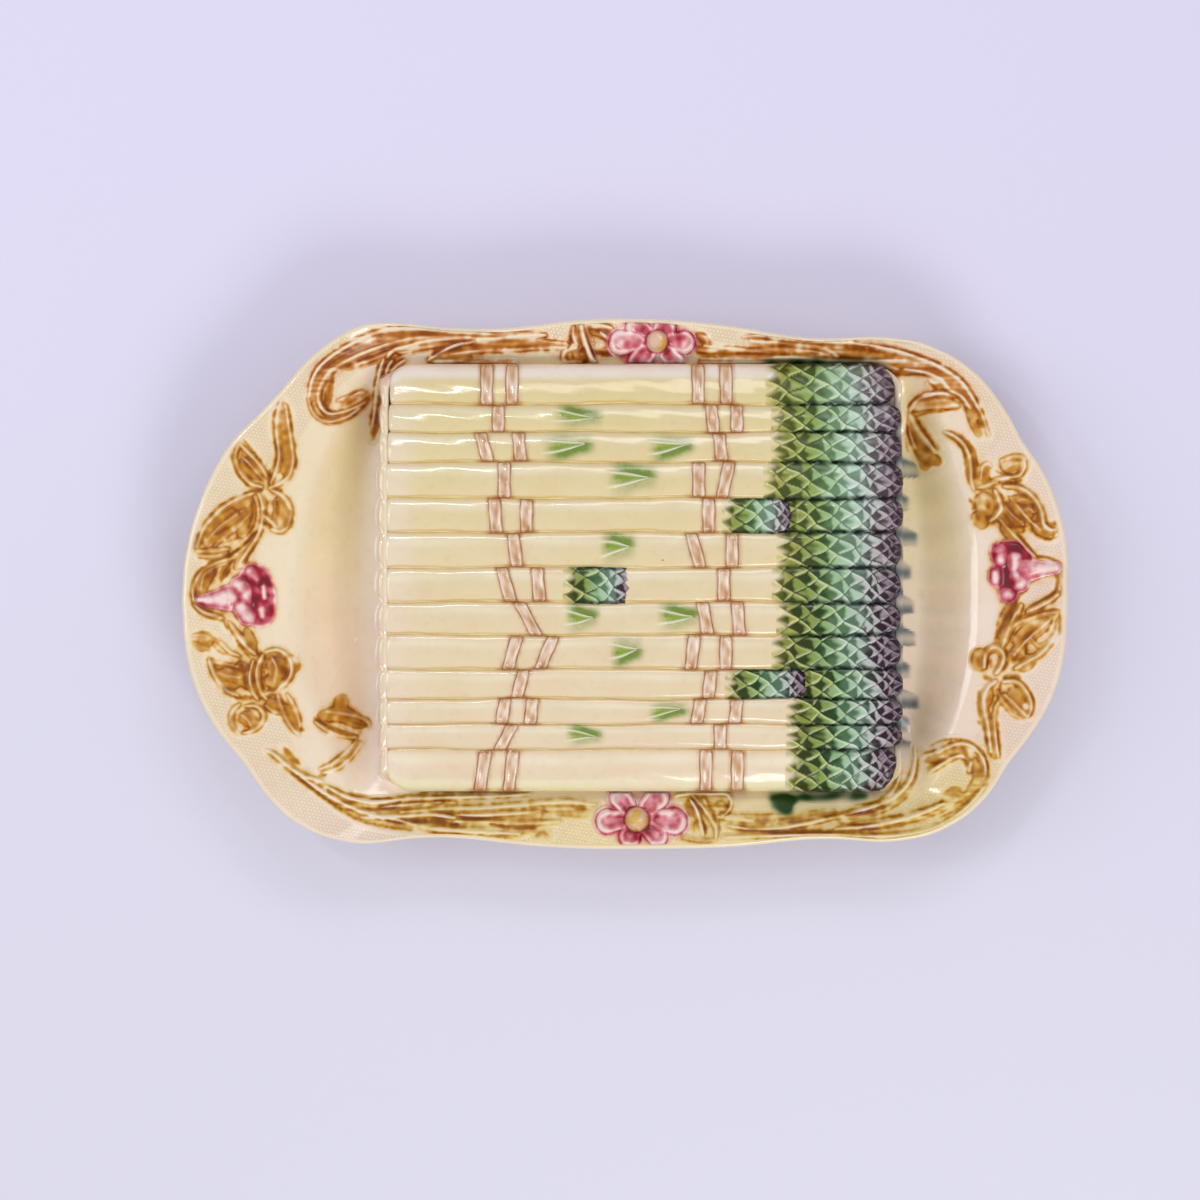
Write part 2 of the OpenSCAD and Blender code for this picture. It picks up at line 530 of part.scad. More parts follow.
// A head: scales in diamonds that stand out toward the tip, and a rounded nose
function nose(u) = u < nose_share ? 1
    : sqrt(1 - (1 - nose_end_share * nose_end_share) * pow((u - nose_share) / (1 - nose_share), 2));
function head_run(k, from, to, steps) =
    spear(k, [for (i = [0:steps]) [mix(from, to, i / steps), nose(i / steps)]],
        function (i, j) i > 0 && i < steps && j > 0 && j < side_steps ? (i + j) % 2 : 0);
module head(k) {
    from = bed_x(head_shares[k - 1]);
    to = bed_x(tip_shares[k - 1]);
    color(head_green) solids([head_run(k, from, to, scale_steps)]);
}
module short_head(i) {
    ends = short_head_shares[i];
    color(head_green)
    solids([head_run(SHORT_ROWS[i], bed_x(ends[0]), bed_x(ends[1]), short_scale_steps)]);
}

// Pads and bracts on a stalk: they seat on the flats between the points of its section
function spear_side(k, x) = [for (j = [0:side_steps])
    let (y = mix(row_from(k, x), row_to(k, x), round_share(j)))
    [y, bed_h(y) + seat_gap + spear_rise(j)]];
function tie(k, x, lean) =
    let (side = spear_side(k, x), from = 1, to = side_steps - 1)
    run([for (s = [-0.5, 0.5])
            let (ring = [for (j = [from:to])
                     [x + s * tie_w + lean * (0.5 - round_share(j)), side[j][0], side[j][1] + trim_gap]],
                 rise = [for (j = [from:to]) j == from || j == to ? tie_t * tie_end_share : tie_t])
            concat([for (j = [0:to - from]) placed(ring[j].x, ring[j].y, ring[j].z + rise[j])],
                   [for (j = [to - from:-1:0]) placed(ring[j].x, ring[j].y, ring[j].z)])],
        to - from + 1, to - from + 1);
module ties(table) {
    color(tie_pink) solids([for (t = table) tie(t[0], bed_x(t[1]), t[2] * tie_w)]);
}
module ties_left() { ties(tie_left_shares); }
module ties_right() { ties(tie_right_shares); }

function bract(k, from, to) =
    let (side = spear_side(k, bed_x(from)), last = len(bract_width_shares) - 1,
         mid = side[side_steps / 2][0], half = mid - side[0][0])
    run([for (i = [0:last])
            let (x = bed_x(mix(from, to, i / last)),
                 ys = [for (s = [-1, 0, 1]) mid + s * half * bract_width_shares[i]],
                 zs = [for (y = ys) lookup(y, side) + trim_gap])
            concat([for (j = [0:2]) placed(x, ys[j], zs[j] + bract_t * (j == 1 ? 1 : bract_edge_share))],
                   [for (j = [2:-1:0]) placed(x, ys[j], zs[j])])],
        3, 3);
module bracts() {
    color(leaf_green) solids([for (b = bract_shares) bract(b[0], b[1], b[2])]);
}

// Relief on the rim. A strip runs through stations, each a pair of points on its two edges
function sided(pairs) =
    let (along = middle(pairs[1]) - middle(pairs[0]), across = pairs[0][1] - pairs[0][0])
    cross(along, across) > 0 ? pairs : [for (p = pairs) [p[1], p[0]]];
function strip(pairs, rises) =
    let (last = len(rises) - 1)
    run([for (p = sided(pairs)) concat(
            [for (j = [0:last]) seated(mix(p[0], p[1], j / last), rises[j])],
            [for (j = [last:-1:0]) seated(mix(p[0], p[1], j / last))])],
        last + 1, last + 1);
// A course with its corners rounded: each stretch becomes n shorter ones on a cubic curve
function rounded(line, n) = n == 1 ? line : concat(
    [for (i = [0:len(line) - 2]) for (k = [0:n - 1])
        let (a = line[max(0, i - 1)], b = line[i], c = line[i + 1],
             d = line[min(len(line) - 1, i + 2)], u = k / n)
        b + ((c - a) * u + (2 * a - 5 * b + 4 * c - d) * u * u + (3 * b - a - 3 * c + d) * u * u * u) / 2],
    [line[len(line) - 1]]);
function stem(course, shares, n = 1) =
    let (line = rounded([for (px = course) on_plate(px)], n), last = len(line) - 1)
    strip([for (i = [0:last])
              let (d = line[min(last, i + 1)] - line[max(0, i - 1)],
                   u = 2 * i / last,
                   w = stem_w * (u < 1 ? mix(shares[0], shares[1], u) : mix(shares[1], shares[2], u - 1)),
                   side = [-d.y, d.x] / norm(d) * w / 2)
              [on_rim(line[i] - side), on_rim(line[i] + side)]],
          [relief_edge_h, mix(relief_edge_h, stem_h, min(1, shares[1])), relief_edge_h]);
function leaf_edges(pairs, n) =
    let (one = rounded([for (p = pairs) on_plate(p[0])], n),
         two = rounded([for (p = pairs) on_plate(p[1])], n))
    [for (i = [0:len(one) - 1]) [one[i], two[i]]];
function leaf(pairs, n = 1) = strip(leaf_edges(pairs, n), [relief_edge_h, leaf_h, relief_edge_h]);
// A leaf that lies on the curved wall of a well follows it with more points across
function wide_leaf(pairs, n) =
    let (quarter_h = middle([relief_edge_h, leaf_h]))
    strip(leaf_edges(pairs, n), [relief_edge_h, quarter_h, leaf_h, quarter_h, relief_edge_h]);

// A round form: a ring that stands up round a hollow middle
function round_form(mid, rx, ry, edge_h, mid_h, top_share) =
    let (n = round_steps,
         foot = [for (i = [0:n - 1]) on_rim(mid + [rx * cos(360 * i / n), ry * sin(360 * i / n)])],
         top = [for (p = foot) mix(mid, p, top_share)])
    [concat([seated(mid)], [for (p = foot) seated(p)], [for (p = top) seated(p, edge_h)],
            [seated(mid, mid_h)]),
     [for (i = [0:n - 1]) let (a = 1 + i, b = 1 + (i + 1) % n, c = b + n, d = a + n)
         each [[0, a, b], [a, d, c], [a, c, b], [2 * n + 1, c, d]]]];
function round_leaf(px) =
    let (mid = on_plate(px[0]), edge = on_plate(px[1]))
    round_form(mid, edge.x - mid.x, edge.y - mid.y, leaf_h, relief_edge_h, round_top_share);

// A flower: petals that are hollow along the middle, round a cup
function petal(mid, from, tip, width) =
    let (d = (tip - mid) / norm(tip - mid), n = [-d.y, d.x] * width / 2, last = len(petal_width_shares) - 1)
    strip([for (i = [0:last])
              let (p = mix(mid + d * from, tip, i / last), w = n * petal_width_shares[i])
              [on_rim(p - w), on_rim(p + w)]],
          [petal_edge_h, petal_h, petal_edge_h]);
function flower(px) =
    let (mid = on_plate(px[0]), r = px[0].z * photo_scale)
    concat([for (i = [1:len(px) - 1]) petal(mid, r + petal_gap, on_plate(px[i]), px[i].z * photo_scale)],
           [round_form(mid, r, r, cup_h, petal_h, cup_top_share)]);
module relief(shade, forms) { color(shade) solids(forms); }
module flower_back() { relief(petal_pink, flower(flower_back_px)); }
module flower_front() { relief(petal_pink, flower(flower_front_px)); }
module flower_left() { relief(petal_pink, concat(flower(flower_left_px), [leaf(trumpet_left_px)])); }
module flower_right() { relief(petal_pink, concat(flower(flower_right_px), [leaf(trumpet_right_px)])); }

module spray_left_upper() {
    relief(ochre, [
        leaf(blade_left_upper_px), leaf(bud_left_upper_px), leaf(leaf_left_upper_px),
        round_leaf(round_left_upper_px),
        stem(stem_left_upper_px, slim_shares), stem(curl_left_upper_px, curl_shares)]);
}
module spray_left_lower() {
    relief(ochre, [
        leaf(leaf_left_lower_px), leaf(bud_left_lower_px), round_leaf(round_left_lower_px),
        stem(stem_left_lower_px, slim_shares), stem(curl_left_lower_px, fine_shares),
        stem(tail_left_lower_px, slim_shares, 2)]);
}
module spray_right_upper() {
    relief(ochre, [
        leaf(bud_right_upper_px), leaf(leaf_right_upper_px), round_leaf(round_right_upper_px),
        round_leaf(loop_right_upper_px), stem(tendril_right_upper_px, fine_shares, 2),
        stem(stem_right_upper_px, slim_shares), stem(curl_right_upper_px, curl_shares)]);
}
module spray_right_lower() {
    relief(ochre, [
        leaf(leaf_right_lower_px), leaf(bud_right_lower_px), round_leaf(ring_right_lower_px),
        stem(stem_right_lower_px, slim_shares), stem(tail_right_lower_px, slim_shares)]);
}

module stem_back_left() {
    relief(ochre, [
        stem(whip_back_left_px, whip_shares, 2), stem(inner_back_left_px, inner_shares, 2),
        leaf(leaf_back_left_px)]);
}
module stem_back_right() {
    relief(ochre, [
        stem(band_back_right_px, band_shares, 2), stem(strand_back_right_px, fine_shares, 2),
        stem(low_strand_back_right_px, fine_shares),
        stem(high_strand_back_right_px, fine_shares), wide_leaf(fan_back_right_px, 2)]);
}
module stem_front_left() {
    relief(ochre, [
        stem(whip_front_left_px, long_shares, 2), stem(edge_front_left_px, fine_shares),
        stem(branch_front_left_px, fine_shares, 2), stem(streak_front_left_px, fine_shares),
        stem(low_streak_front_left_px, fine_shares), wide_leaf(bud_front_left_px, 3)]);
}
module stem_front_right() {
    relief(ochre, [
        stem(stem_front_right_px, slim_shares, 2), stem(hook_front_right_px, hook_shares),
        leaf(leaf_front_right_px)]);
}
module bow_back() {
    relief(ochre, [stem(loop_back_px, fine_shares), stem(ridge_back_px, slim_shares)]);
}
module bow_front() {
    relief(ochre, [
        stem(loop_front_px, fine_shares), stem(ridge_front_px, slim_shares),
        stem(low_ridge_front_px, fine_shares)]);
}

platter_body();
foot_ring();
for (k = [1:13]) stalk(k);
for (k = [1:13]) head(k);
for (i = [0:len(SHORT_ROWS) - 1]) short_head(i);
ties_left();
ties_right();
bracts();
flower_back();
flower_front();
flower_left();
flower_right();
spray_left_upper();
spray_left_lower();
spray_right_upper();
spray_right_lower();
stem_back_left();
stem_back_right();
stem_front_left();
stem_front_right();
bow_back();
bow_front();
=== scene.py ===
import math
import bpy
import numpy as np
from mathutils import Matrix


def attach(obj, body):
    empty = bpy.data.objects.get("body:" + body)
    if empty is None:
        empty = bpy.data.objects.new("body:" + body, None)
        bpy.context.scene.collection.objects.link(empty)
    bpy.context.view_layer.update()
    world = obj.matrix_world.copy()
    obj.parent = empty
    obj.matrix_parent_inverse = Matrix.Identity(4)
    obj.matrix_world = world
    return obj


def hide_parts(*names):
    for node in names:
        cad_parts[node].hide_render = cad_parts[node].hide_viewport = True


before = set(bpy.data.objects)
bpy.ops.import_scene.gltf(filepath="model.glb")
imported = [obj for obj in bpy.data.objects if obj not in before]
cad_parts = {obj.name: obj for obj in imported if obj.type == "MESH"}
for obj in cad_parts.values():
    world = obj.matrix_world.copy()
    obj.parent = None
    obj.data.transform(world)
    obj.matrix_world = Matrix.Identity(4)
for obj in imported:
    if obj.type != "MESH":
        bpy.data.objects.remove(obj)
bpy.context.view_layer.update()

# Half the plate in millimetres and in the photo's pixels, and its middle in pixels
HALF = np.array([190.0, 114.0])
HALF_PX = np.array([443.0, -266.0])
MIDDLE_PX = np.array([625.0, 584.0])
PX_MM = HALF[0] / HALF_PX[0]
PHOTO_PX = 1200

# Camera: straight down, the photo's 1200 pixels span 515 mm at the height of the rim, in metres
SENSOR_MM = 36
CAMERA_Z = 1.35
SCALE_Z = 0.034
camera_data = bpy.data.cameras.new("camera")
camera_data.sensor_width = SENSOR_MM
camera_data.lens = SENSOR_MM * (CAMERA_Z - SCALE_Z) / (PHOTO_PX * PX_MM / 1000)
camera = bpy.data.objects.new("camera", camera_data)
camera.location = (*((PHOTO_PX / 2 - MIDDLE_PX) * [1, -1] * PX_MM / 1000), CAMERA_Z)
bpy.context.scene.collection.objects.link(camera)
bpy.context.scene.camera = camera
bpy.context.scene.view_settings.view_transform = "Standard"

# Sizes in millimetres, as the CAD model has them
BED_HALF = np.array([110.5, 92.0])
BED_SHIFT = np.array([7.5, 2.8])
CORNER_R = 12.0
RIM_H = 36.0
INNER_H = 30.0
GROOVE_H = 24.0
CROWN_H = 38.0
WALL_T = 5.5
FOOT_H = 3.5
SKIRT_T = 8.0
FLOOR_H = FOOT_H + WALL_T
LIP_R = WALL_T / 2
SPEAR_H = 6.6
EDGE_H = 4.6
HOLLOW_EDGE = 0.4
RELIEF_DEPTH = 0.6

# The lip leans out by 35 degrees and is a little narrower than round
LIP_LEAN = math.cos(math.radians(35))
LIP_WIDE = 0.86

# The well's wall between the bed (0) and the lip (1): its start, its length and its end
WALL_FROM = 0.14
WALL_SPAN = 0.38
WALL_TO = WALL_FROM + WALL_SPAN

# Fine sizes of the spears, their scales, the ties and the bracts in millimetres
BUTT_L = 1.6
BUTT_OUT = 0.6
TIP_OUT = 0.8
NOSE_L = 7.5
SHORT_NOSE_L = 7.0
UNDER_L = 9.0
SCALE_PITCH = 10.4
SCALE_WIDE = 6.6
SCALE_WIDE_TIP = 4.8
SCALE_H = 1.25
SHORTEST_STALK = 5
TIE_HALF = 2.9
TIE_L = 14
TIE_ROUND = 1.6
TIE_H = 1.25
BRACT_L = 18
BRACT_ROUND = 1.5
BRACT_H = 0.62

# Share of its row that a tie reaches across, and the grids of the pieces: points along and across
TIE_REACH = 0.94
STALK_GRID = (110, 29)
HEAD_GRID = (150, 49)
SHORT_HEAD_GRID = (80, 49)
TIE_GRID = (27, 15)
BRACT_GRID = (60, 25)

# The rim as angle in degrees and share of the plain oval's reach
RIM_SHARES = [
    (0, 1), (8, 1.009), (16, 1.021), (24, 1.037), (31, 1.047), (38, 1.086), (44, 1.121),
    (49, 1.137), (54, 1.134), (59, 1.093), (63, 1.037), (67, 1.012), (71, 1.004), (84, 1.003),
    (96, 1.004), (102, 0.998), (106, 1.002), (109, 1.02), (113, 1.049), (117, 1.107),
    (121, 1.15), (126, 1.134), (131, 1.106), (136, 1.07), (142, 1.047), (149, 1.04),
    (156, 1.022), (164, 1.007), (172, 1), (180, 1), (188, 1.009), (196, 1.03),
    (204, 1.055), (211, 1.075), (218, 1.093), (224, 1.135), (229, 1.165), (234, 1.175),
    (239, 1.15), (243, 1.075), (247, 1.037), (251, 1.02), (258, 1.01), (264, 1.004),
    (270, 1), (276, 1.004), (282, 1.018), (289, 1.033), (293, 1.046), (297, 1.078),
    (301, 1.14), (306, 1.175), (311, 1.17), (316, 1.144), (322, 1.098), (329, 1.077),
    (336, 1.057), (344, 1.031), (352, 1.009), (360, 1)]
# The thirteen rows from the back: edges across the bed, then butts, feet of heads and tips along it
ROW_EDGES = [0, 0.098, 0.163, 0.233, 0.317, 0.396, 0.478, 0.558, 0.634, 0.713, 0.782, 0.841, 0.9, 1]
BUTTS = [0.012, 0.010, 0.008, 0.004, 0.007, 0.004, 0.007, 0.003, 0.006, 0.004, 0.006, 0.004, 0.006]
HEADS = [0.738, 0.748, 0.748, 0.732, 0.796, 0.757, 0.748, 0.757, 0.748, 0.825, 0.777, 0.777, 0.777]
TIPS = [0.988, 0.998, 0.998, 1, 1, 0.997, 0.995, 0.995, 0.995, 1, 1, 1, 0.99]
ROWS = len(HEADS)
# Heads of shorter spears, ties as row, place and lean, and bracts as row, root and tip
SHORT = {5: (0.652, 0.792), 7: (0.346, 0.489), 10: (0.658, 0.821)}
TIES_LEFT = [
    (1, 0.198, 0), (1, 0.247, 0), (2, 0.221, 0), (3, 0.194, 0.6), (3, 0.262, 0.2),
    (4, 0.233, 0), (5, 0.216, 0.2), (5, 0.276, 0), (6, 0.254, 0.3), (7, 0.237, 0.7),
    (7, 0.299, 0.2), (8, 0.279, 1.3), (9, 0.249, -0.7), (9, 0.315, -1), (10, 0.264, -0.5),
    (11, 0.231, -0.3), (11, 0.285, -0.2), (12, 0.236, -1), (13, 0.19, -0.5), (13, 0.245, -0.4)]
TIES_RIGHT = [
    (1, 0.608, 0), (1, 0.662, 0), (2, 0.635, 0.2), (2, 0.682, 0), (3, 0.65, 0.2),
    (4, 0.608, 0), (4, 0.66, -0.6), (5, 0.627, 0), (6, 0.602, 0.7), (6, 0.672, 0),
    (7, 0.656, 0), (8, 0.62, 0.4), (8, 0.684, 0.2), (9, 0.596, -0.3), (9, 0.66, 0),
    (10, 0.629, -0.2), (11, 0.608, -0.3), (11, 0.68, -0.2), (12, 0.65, 0), (13, 0.623, 0),
    (13, 0.684, 0)]
BRACTS = [
    (2, 0.318, 0.404), (3, 0.297, 0.388), (3, 0.501, 0.584), (4, 0.421, 0.511),
    (6, 0.41, 0.474), (8, 0.342, 0.404), (8, 0.518, 0.596), (9, 0.429, 0.489),
    (11, 0.501, 0.573), (12, 0.342, 0.41)]
# Relief of the rim, traced from the photo: half width in pixels, amount, then the points.
# Ridges stand up, washes are broad ochre glaze on low swells, pools are dark glaze in hollows
RIDGES = {
    "stem_back_left": [
        (1.7, 1.3, [(309, 396), (312, 381), (319, 368), (331, 357), (346, 347), (361, 339), (376, 333),
                    (396, 329), (420, 329), (450, 331), (480, 334), (512, 336)]),
        (1.6, 1.2, [(470, 337), (440, 337), (415, 338), (398, 341), (380, 346), (360, 354), (344, 362),
                    (331, 371), (322, 383), (318, 396), (321, 407), (329, 413), (340, 412), (352, 407),
                    (363, 400)]),
        (1.4, 1.1, [(308, 398), (312, 411), (321, 420), (333, 421), (346, 416), (358, 406)]),
        (1.5, 1.2, [(386, 357), (392, 350), (405, 346), (425, 341), (450, 339), (480, 338)]),
        (1.9, 1.6, [(427, 359), (440, 351), (455, 345), (475, 341), (500, 338), (530, 336), (546, 335)]),
        (1.4, 1.2, [(383, 357), (378, 371), (374, 390), (371, 410), (368, 424)]),
        (1.3, 1.1, [(392, 358), (386, 368), (383, 385), (380, 402), (376, 418)]),
        (1.4, 1.0, [(430, 361), (450, 361), (480, 361), (515, 361)]),
        (1.2, 0.8, [(450, 353), (480, 350), (510, 349), (540, 347), (566, 347)]),
        (1.4, 1.0, [(405, 358), (396, 364), (391, 376), (388, 392)]),
        (1.3, 0.8, [(336, 400), (348, 396), (360, 390)])],
    "bow_back": [
        (2.3, 1.6, [(581, 325), (583, 335), (587, 347), (592, 358), (596, 363)]),
        (1.8, 1.3, [(574, 325), (573, 335), (577, 344)]),
        (1.7, 1.3, [(577, 347), (567, 349), (563, 355), (566, 361), (573, 364), (583, 365)]),
        (1.4, 1.0, [(588, 324), (600, 325), (612, 328)]),
        (1.6, 1.1, [(600, 331), (606, 337), (612, 341)])],
    "stem_back_right": [
        (1.5, 1.0, [(704, 345), (730, 348), (760, 351), (790, 352), (815, 353)]),
        (1.5, 1.0, [(700, 357), (730, 358), (760, 358), (790, 357), (820, 359), (850, 360), (880, 360),
                    (905, 360)]),
        (1.4, 0.9, [(740, 350), (770, 349), (800, 350), (830, 354)]),
        (1.5, 1.0, [(742, 337), (765, 335), (790, 337), (815, 340), (845, 343), (870, 345)]),
        (1.5, 0.9, [(700, 363), (740, 364), (780, 361), (820, 360)]),
        (1.6, 1.0, [(750, 341), (790, 344), (825, 349), (840, 356)]),
        (1.8, 1.3, [(870, 345), (890, 349), (905, 353), (925, 360), (945, 370), (958, 379), (968, 391),
                    (978, 408), (985, 424), (989, 436)]),
        (1.5, 1.1, [(905, 368), (925, 372), (940, 379), (950, 390), (962, 397), (970, 408)]),
        (1.8, 1.3, [(914, 409), (918, 400), (927, 395), (942, 393), (955, 396)]),
        (1.4, 0.9, [(858, 366), (880, 366), (900, 368)]),
        (2.3, 1.6, [(914, 412), (920, 424), (928, 436), (936, 448)]),
        (1.3, 0.9, [(913, 420), (917, 435), (921, 446)])],
    "spray_right_upper": [
        (1.8, 1.2, [(945, 431), (956, 436), (964, 444), (969, 455), (971, 468), (972, 480), (975, 490)]),
        (2.0, 1.3, [(979, 488), (990, 484), (998, 480), (1010, 477)]),
        (2.3, 1.6, [(995, 490), (999, 499), (1001, 508), (997, 516), (991, 521)]),
        (2.1, 1.6, [(1004, 486), (1016, 487), (1027, 492), (1036, 502), (1041, 513), (1043, 524),
                    (1048, 529), (1058, 530)]),
        (1.9, 1.4, [(1000, 519), (1008, 528), (1017, 538), (1027, 549), (1035, 557)]),
        (1.4, 0.9, [(1010, 497), (1018, 507), (1028, 519), (1040, 530)]),
        (1.2, 0.6, [(1012, 502), (1022, 499), (1033, 502)]),
        (1.2, 0.6, [(1018, 511), (1028, 509), (1038, 512)]),
        (1.6, 1.2, [(1000, 461), (1010, 457), (1021, 457), (1024, 462), (1023, 470), (1018, 476),
                    (1008, 477)]),
        (1.2, 0.6, [(1004, 469), (1012, 464), (1018, 463)]),
        (1.4, 1.0, [(981, 478), (983, 467), (988, 463), (992, 467)]),
        (1.9, 1.3, [(1039, 559), (1049, 561), (1058, 568), (1062, 579), (1059, 590)]),
        (1.4, 0.8, [(1006, 505), (1012, 514), (1024, 524)])],
    "spray_right_lower": [
        (2.4, 1.5, [(1058, 594), (1048, 601), (1037, 607), (1027, 612)]),
        (2.8, 1.6, [(1016, 613), (1012, 623), (1007, 635), (1003, 646)]),
        (2.0, 1.3, [(1022, 604), (1018, 612), (1013, 620)]),
        (1.9, 1.4, [(1013, 627), (1020, 621), (1032, 616), (1046, 613), (1058, 611)]),
        (2.0, 1.4, [(1060, 618), (1056, 632), (1048, 645), (1038, 655), (1028, 661), (1015, 669)]),
        (1.3, 0.8, [(1014, 655), (1024, 643), (1036, 631), (1052, 618)]),
        (1.1, 0.5, [(1020, 647), (1026, 656), (1034, 655)]),
        (1.1, 0.5, [(1030, 637), (1038, 646), (1046, 642)]),
        (2.5, 1.6, [(985, 668), (986, 656), (992, 648), (1000, 649), (1004, 657), (1001, 667),
                    (996, 674)]),
        (2.3, 1.5, [(997, 681), (989, 687), (984, 697), (985, 710), (987, 722), (989, 738), (990, 752)]),
        (1.6, 1.1, [(1000, 698), (996, 710), (995, 726), (996, 743), (998, 757)]),
        (1.9, 1.4, [(1003, 682), (1014, 681), (1023, 687), (1029, 697), (1031, 708), (1028, 716)]),
        (1.8, 1.2, [(1004, 694), (1012, 702), (1020, 710), (1027, 717)]),
        (1.3, 0.9, [(998, 690), (1003, 702), (1012, 713), (1022, 719)])],
    "stem_front_right": [
        (1.7, 1.3, [(728, 826), (750, 829), (780, 828), (810, 823), (840, 816), (870, 809), (890, 801),
                    (905, 790), (914, 777), (918, 762), (919, 748)]),
        (1.5, 1.1, [(855, 812), (875, 806), (890, 797), (899, 785), (904, 770)]),
        (1.5, 1.0, [(835, 829), (870, 826), (900, 820), (925, 812), (945, 803)]),
        (1.7, 1.2, [(725, 837), (770, 836), (820, 837), (860, 836), (900, 835), (930, 829), (950, 820),
                    (968, 806), (980, 792), (985, 778), (984, 762), (977, 750), (965, 744), (952, 746),
                    (940, 752), (926, 758)]),
        (1.6, 1.1, [(968, 760), (960, 756), (945, 763), (930, 774)]),
        (2.1, 1.1, [(971, 762), (969, 772)])],
    "bow_front": [
        (1.6, 1.2, [(676, 797), (690, 794), (710, 792), (727, 795), (732, 803), (728, 813), (720, 817)]),
        (1.9, 1.4, [(693, 797), (703, 808), (712, 820), (717, 832)]),
        (1.9, 1.3, [(704, 800), (711, 812), (716, 825), (716, 838)]),
        (1.6, 1.1, [(690, 799), (697, 811), (701, 825), (703, 836)]),
        (1.4, 0.9, [(682, 838), (700, 841), (716, 840)])],
    "stem_front_left": [
        (2.2, 1.4, [(266, 750), (274, 754), (284, 763), (296, 772), (308, 778), (322, 782)]),
        (1.9, 1.3, [(300, 776), (320, 790), (345, 805), (370, 815), (400, 821), (420, 826), (450, 830),
                    (480, 832), (520, 834)]),
        (1.5, 1.1, [(325, 786), (345, 797), (370, 803), (400, 800), (430, 799), (460, 798), (500, 797),
                    (530, 795)]),
        (1.5, 1.1, [(380, 808), (410, 805), (440, 803), (455, 804)]),
        (1.8, 1.2, [(400, 813), (440, 810), (480, 809), (520, 806), (560, 803), (580, 804), (597, 806)]),
        (1.6, 1.1, [(455, 815), (480, 816), (510, 814), (540, 812)]),
        (1.8, 1.2, [(360, 818), (400, 817), (430, 815), (455, 818)]),
        (1.6, 1.0, [(455, 822), (480, 822), (520, 824), (560, 822)]),
        (1.5, 1.1, [(318, 770), (332, 764), (344, 754), (353, 743)]),
        (1.5, 1.1, [(322, 774), (338, 768), (350, 757), (359, 744)]),
        (1.2, 0.8, [(330, 768), (343, 759), (356, 744)]),
        (2.0, 1.4, [(314, 722), (325, 729), (340, 736), (353, 739)]),
        (1.6, 1.1, [(325, 712), (345, 716), (362, 723), (366, 730)])],
    "spray_left_upper": [
        (1.7, 1.2, [(281, 400), (278, 415), (277, 435), (279, 455), (276, 470), (270, 483)]),
        (1.6, 1.2, [(286, 404), (289, 425), (292, 445), (293, 462), (288, 476), (278, 484), (268, 488)]),
        (1.7, 1.3, [(238, 443), (248, 452), (259, 464), (268, 478)]),
        (1.9, 1.4, [(236, 445), (235, 458), (240, 472), (250, 483), (262, 487)]),
        (1.3, 0.8, [(243, 456), (252, 467), (263, 480)]),
        (2.1, 1.5, [(254, 493), (240, 498), (226, 506), (215, 516), (205, 528), (199, 541), (196, 548)]),
        (1.2, 0.7, [(250, 503), (236, 514), (220, 527), (207, 541)]),
        (1.2, 0.7, [(252, 512), (240, 524), (226, 536), (214, 546)]),
        (1.5, 1.1, [(258, 492), (262, 505), (262, 520), (258, 532)]),
        (1.7, 1.3, [(271, 490), (281, 495), (289, 507), (289, 521), (281, 531), (270, 529)]),
        (2.1, 1.4, [(263, 515), (270, 521), (275, 527)]),
        (1.4, 1.0, [(196, 551), (212, 551), (230, 548)]),
        (1.4, 1.0, [(197, 556), (215, 556), (228, 552)]),
        (1.8, 1.3, [(262, 523), (257, 536), (249, 549), (240, 562)]),
        (1.4, 1.0, [(256, 533), (248, 543), (238, 552), (228, 560)]),
        (1.9, 1.3, [(234, 558), (220, 561), (208, 567), (199, 576), (194, 588), (194, 600)]),
        (1.4, 0.9, [(228, 562), (216, 567), (205, 575), (201, 590)]),
        (1.8, 1.2, [(194, 604), (203, 612), (215, 616), (224, 619)])],
    "spray_left_lower": [
        (2.0, 1.4, [(229, 622), (237, 634), (246, 646), (256, 655)]),
        (1.6, 1.1, [(192, 636), (203, 634), (214, 637), (222, 644), (230, 652), (240, 656)]),
        (1.4, 0.9, [(193, 642), (200, 648), (210, 650)]),
        (2.1, 1.5, [(209, 658), (213, 670), (219, 682), (228, 691), (238, 696)]),
        (1.2, 0.7, [(213, 662), (225, 664), (238, 667)]),
        (1.2, 0.7, [(216, 672), (228, 676), (242, 677)]),
        (2.1, 1.5, [(262, 655), (257, 668), (257, 680), (261, 692), (266, 699)]),
        (1.7, 1.2, [(253, 660), (250, 675), (252, 690), (258, 700)]),
        (1.8, 1.3, [(265, 652), (277, 650), (288, 658), (291, 670), (286, 682), (275, 690), (265, 694)]),
        (1.4, 0.8, [(270, 656), (276, 668), (274, 682)]),
        (1.6, 1.1, [(263, 696), (272, 692), (280, 689)]),
        (1.8, 1.3, [(277, 695), (281, 706), (286, 718), (292, 728), (300, 737)]),
        (1.5, 1.1, [(286, 694), (292, 704), (297, 716), (300, 727)]),
        (1.9, 1.3, [(240, 704), (233, 711), (231, 721), (235, 730), (240, 734)]),
        (1.6, 1.2, [(245, 706), (257, 707), (263, 714), (261, 724), (252, 731), (243, 733)]),
        (1.2, 0.7, [(240, 714), (248, 720), (252, 728)]),
        (1.3, 0.9, [(265, 705), (272, 711), (280, 714)])],
}
